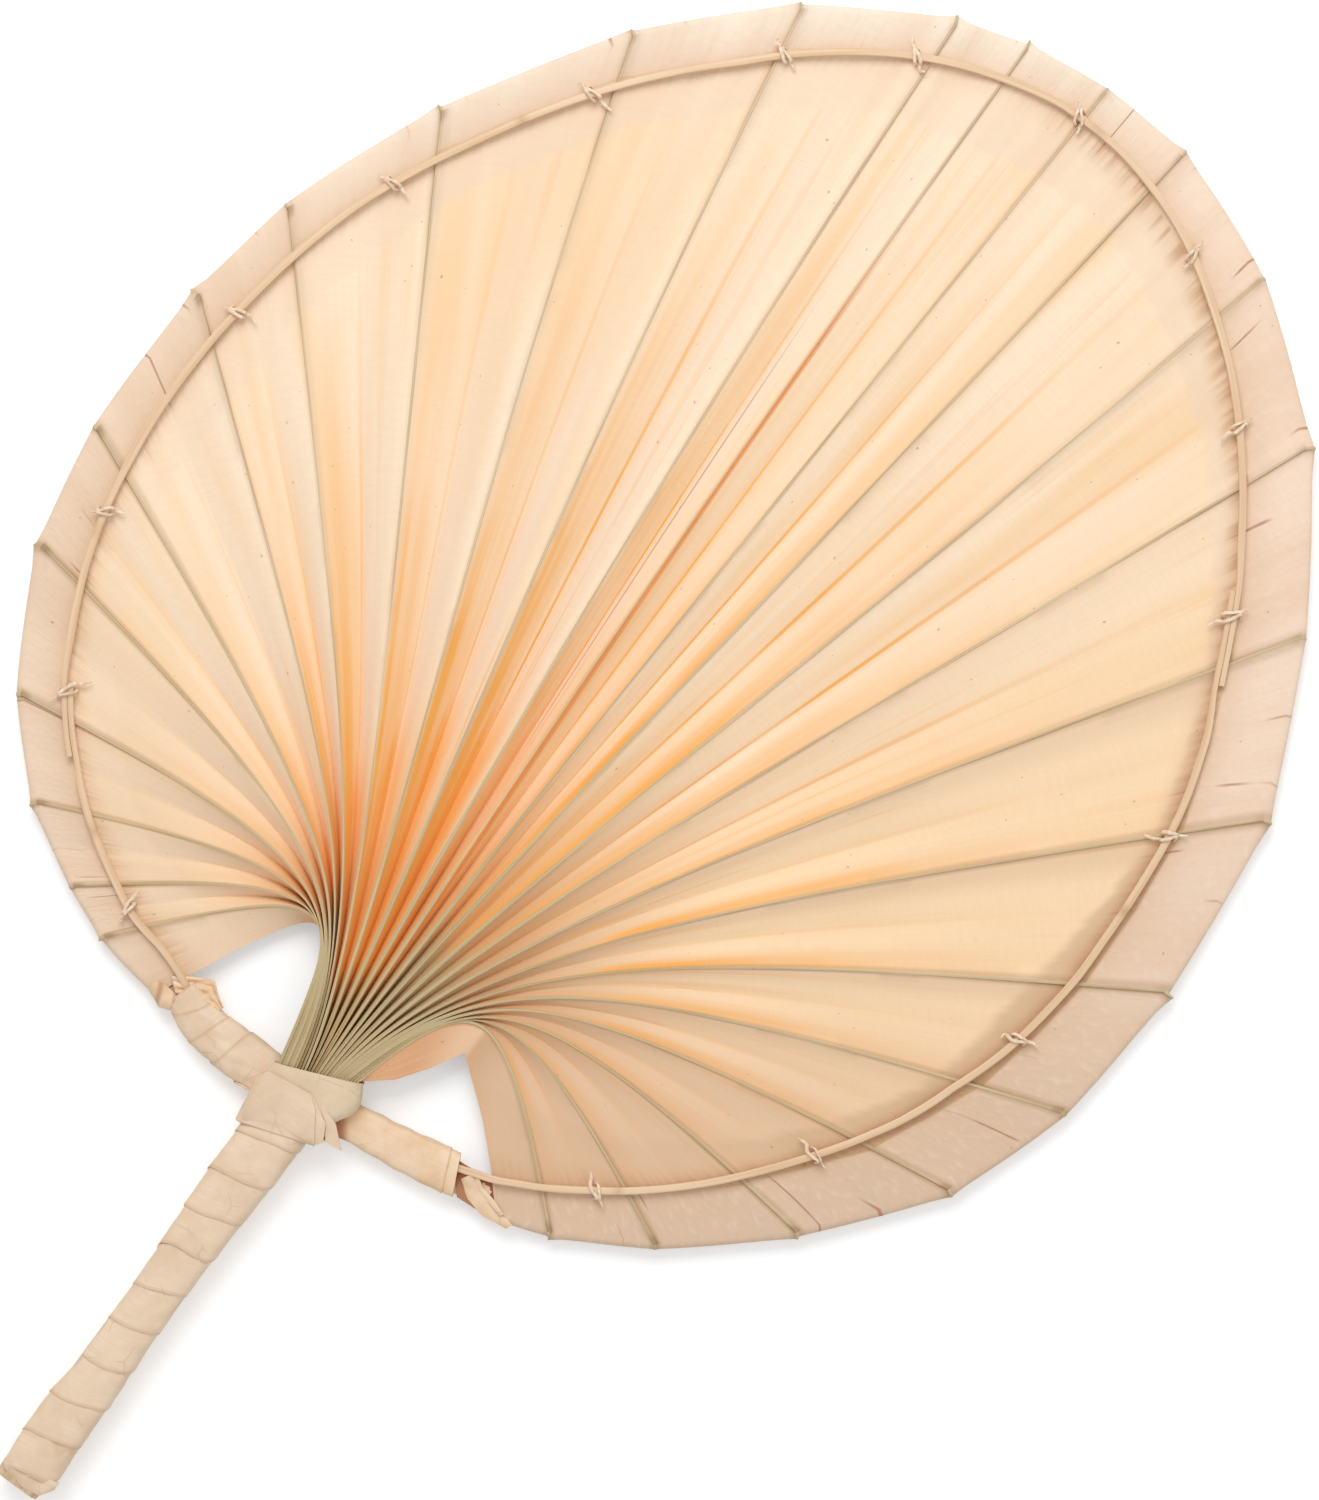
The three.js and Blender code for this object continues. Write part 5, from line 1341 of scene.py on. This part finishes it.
# The torn end of the left arm's strip, crumpled into long folds, and the leaf's own end tucked beside it
def makeScrap():
    root = [(-39.2, -5.4), (-36.8, -4.4), (-33.6, -3.2), (-30.8, -2.6), (-28.2, -2.5)]
    tip = [(-42.4, -2.7), (-38, 0.3), (-33.4, 2.9), (-31.6, 1.0), (-29.9, -0.2), (-27.8, -1.3)]
    tabTop = [(-44.6, -5.6), (-42, -5), (-38.2, -5.6)]
    tabLow = [(-45.2, -8.3), (-42.6, -9.4), (-40.6, -10.4), (-38, -9.4)]

    def folds(u, v):
        return math.sin(v * 15 + uneven(1.6, u * 4, v * 2, 4))

    def height(u, v):
        crumpled = 0.34 * folds(u, v) + uneven(0.5, u * 6, v * 5, 9)
        return arms["height"] + 1.7 - 0.5 * v + crumpled * (0.4 + u)

    def tabHeight(u, v):
        wave = 0.4 * math.sin(u * 9 + v * 3) * (1 - v)
        return arms["height"] + 2.6 + wave - 1.4 * (1 - v) ** 4

    # Painted shade in the valleys of the folds, and across the leaf's tab
    shaded = lambda u, v: 0.42 * max(-folds(u, v), 0) ** 2 * (1 - 0.5 * u)
    tabShaded = lambda u, v: 0.08 + 0.42 * max(math.sin(u * 9 + v * 3 + 3), 0)
    scrap = patch("leftStripEnd", tip, root, height, 44, 40, shaded, 0.2, 0.26)
    tab = patch("leafTab", tabTop, tabLow, tabHeight, 30, 14, tabShaded, 0.3)
    joinPieces(scrap, tab)
    finish(scrap, sleeveMaterial, "left_strip_end")


makeScrap()


# The strip's crumpled end, tucked over the end of the stick
def makeButt():
    top = [(-6, -118.4), (0, -117.4), (4.6, -116.4), (8.2, -115.4)]
    low = [(-5.6, -119.7), (-4.6, -120.4), (-1, -121.2), (3, -121.5), (6, -120.8), (8, -117.7)]
    stickTop = stickHigh.z * 1000
    height = lambda u, v: stickTop + 0.55 + 0.25 * math.sin(u * 17) * (1 - v) - 0.6 * (1 - v) ** 3
    # Faint painted shade in the end's crumples
    shaded = lambda u, v: 0.05 * (1 + math.sin(u * 17))
    end = patch("handleStripEnd", top, low, height, 36, 14, shaded, 0.4, 0.3)
    joinPieces(handleWrap, end)
    finish(handleWrap, stripMaterial, "handle_wrap")


makeButt()


# Beyond the right sleeve the leaf's last strips cross the hoop, over a dark layer that is painted shade for
# the hollow under them

rimStrip = {
    "turns": 0.9, "early": 0, "late": 0, "width": 3.6, "length": 6.2, "steps": 48, "rows": 8, "roundness": 5,
    "halfHeight": 1.1, "step": 0, "lift": 0.17, "lap": 1, "hand": 1, "thickness": 0.3, "sway": 0.3,
    "ruffle": 0.1, "seed": 2, "halfWidth": 3.1, "inset": 4.2, "gap": 3,
    # rows of the upper edge, the lower edge, the height over the hoop and how much painted shade the layer
    # has
    "layers": [
        ([(38.6, 2.4), (44, 2.9), (49.8, 4.2)], [(44.2, -4.9), (50, -4.5), (56, -3.4)], 0.1, 1.0),
        ([(43.7, 1.7), (47.6, 0.1), (52, -0.9), (58.9, -2.3)],
         [(42.4, -0.9), (46.7, -3.7), (51.8, -4.9), (58.3, -3.9)], 0.55, 0.03),
        ([(44.8, 2.8), (47.6, 0.9), (51.4, 0), (55.8, -1.4)],
         [(43.6, 2.6), (46.2, -0.1), (50, -1.1), (55, -2.5)], 1.0, 0),
    ],
}


def rimStripFrame(along):
    at, into, _ = rimAt(rightArmEnd - (rimStrip["gap"] + along) / rimLength, rimStrip["inset"])
    place = np.array((at[0], at[1], (hoopLow + hoopHigh) / 2))
    return place, np.array((into[0], into[1], 0)), rimStrip["halfWidth"]


def makeRimStrip():
    hoopTop = hoopHigh + 0.3
    pieces = []
    for number, (top, low, lift, paintedShade) in enumerate(rimStrip["layers"]):
        height = lambda u, v: hoopTop + lift + 0.3 * math.sin(u * 5 + number) * v - 0.5 * (1 - v) ** 4
        # Painted shade: the first, darkest layer stands for the shaded hollow
        darker = lambda u, v: paintedShade * (0.7 + 0.3 * smoothStep(v, 0.2, 0.7))
        pieces.append(patch(f"rimStrip{number}", top, low, height, 30, 12, darker, 0.35, 0.28))
    turned = wound("rightRimStrip", rimStripFrame, rimStrip)
    joinPieces(turned, *pieces)
    finish(turned, sleeveMaterial, "right_rim_strip")


makeRimStrip()
print("neck made")

for node, material in (("rim_hoop", bambooMaterial), ("handle_stick", woodMaterial)):
    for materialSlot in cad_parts[node].material_slots:
        materialSlot.material = material


# Floor, light and camera. White is seen as white, and the pale floor keeps the fan's shadow

white = (1, 1, 1, 1)
floor = {"size": 8, "drop": 0.0003, "grey": (0.9, 0.9, 0.9, 1), "glow": 0.3}
lights = {
    "world": 0.58,
    # places in metres from the middle of the fan, up and to the right as the camera sees it
    "key": {"power": 7.6, "size": 0.7, "up": 0.775, "right": -0.15, "height": 0.975},
    "fill": {"power": 1.6, "size": 1.0, "up": -0.3, "right": 0.9, "height": 0.9},
}
view = {"turn": math.radians(36.35), "middle": (19.8, 110.5, 6), "distance": 1.0, "sensor": 36, "lens": 100}
imageUp = Vector((-math.sin(view["turn"]), math.cos(view["turn"]), 0))
imageRight = Vector((math.cos(view["turn"]), math.sin(view["turn"]), 0))
middle = Vector(tuple(toFrame(view["middle"])))


def makeFloor():
    choose()
    bpy.ops.mesh.primitive_plane_add(size=floor["size"], location=(0, 0, -floor["drop"]))
    plane = bpy.context.object
    plane.name = "paleFloor"
    material, add = emptyNodes(bpy.data.materials.new("paleFloor"))
    glow = add("glow", white, add("MULTIPLY", add("path"), floor["glow"]))
    add("materialEnd", add("both", add("diffuse", floor["grey"]), glow))
    plane.data.materials.append(material)


def areaLight(name, offset, power, size):
    choose()
    bpy.ops.object.light_add(type="AREA", location=middle + offset)
    lamp = bpy.context.object
    lamp.name = name
    lamp.data.energy = power
    lamp.data.size = size
    lamp.rotation_euler = (-offset).to_track_quat("-Z", "Y").to_euler()


def makeLight():
    for name in ("key", "fill"):
        lamp = lights[name]
        offset = imageUp * lamp["up"] + imageRight * lamp["right"] + Vector((0, 0, lamp["height"]))
        areaLight(name + "Light", offset, lamp["power"], lamp["size"])
    world, add = emptyNodes(bpy.data.worlds.new("softRoom"))
    bpy.context.scene.world = world
    rays = add("path").node.outputs
    seen = add("MAXIMUM", rays["Is Camera Ray"], rays["Is Glossy Ray"])
    seen = add("MAXIMUM", seen, rays["Is Transmission Ray"])
    strength = add("MULTIPLY_ADD", seen, 1 - lights["world"], lights["world"])
    add("worldEnd", add("sky", white, strength))


def makeCamera():
    choose()
    place = middle + Vector((0, 0, view["distance"]))
    bpy.ops.object.camera_add(location=place, rotation=(0, 0, view["turn"]))
    camera = bpy.context.object
    camera.name = "photoCamera"
    camera.data.sensor_width = view["sensor"]
    camera.data.lens = view["lens"]
    bpy.context.scene.camera = camera


makeFloor()
makeLight()
makeCamera()
bpy.context.scene.view_settings.view_transform = "Standard"
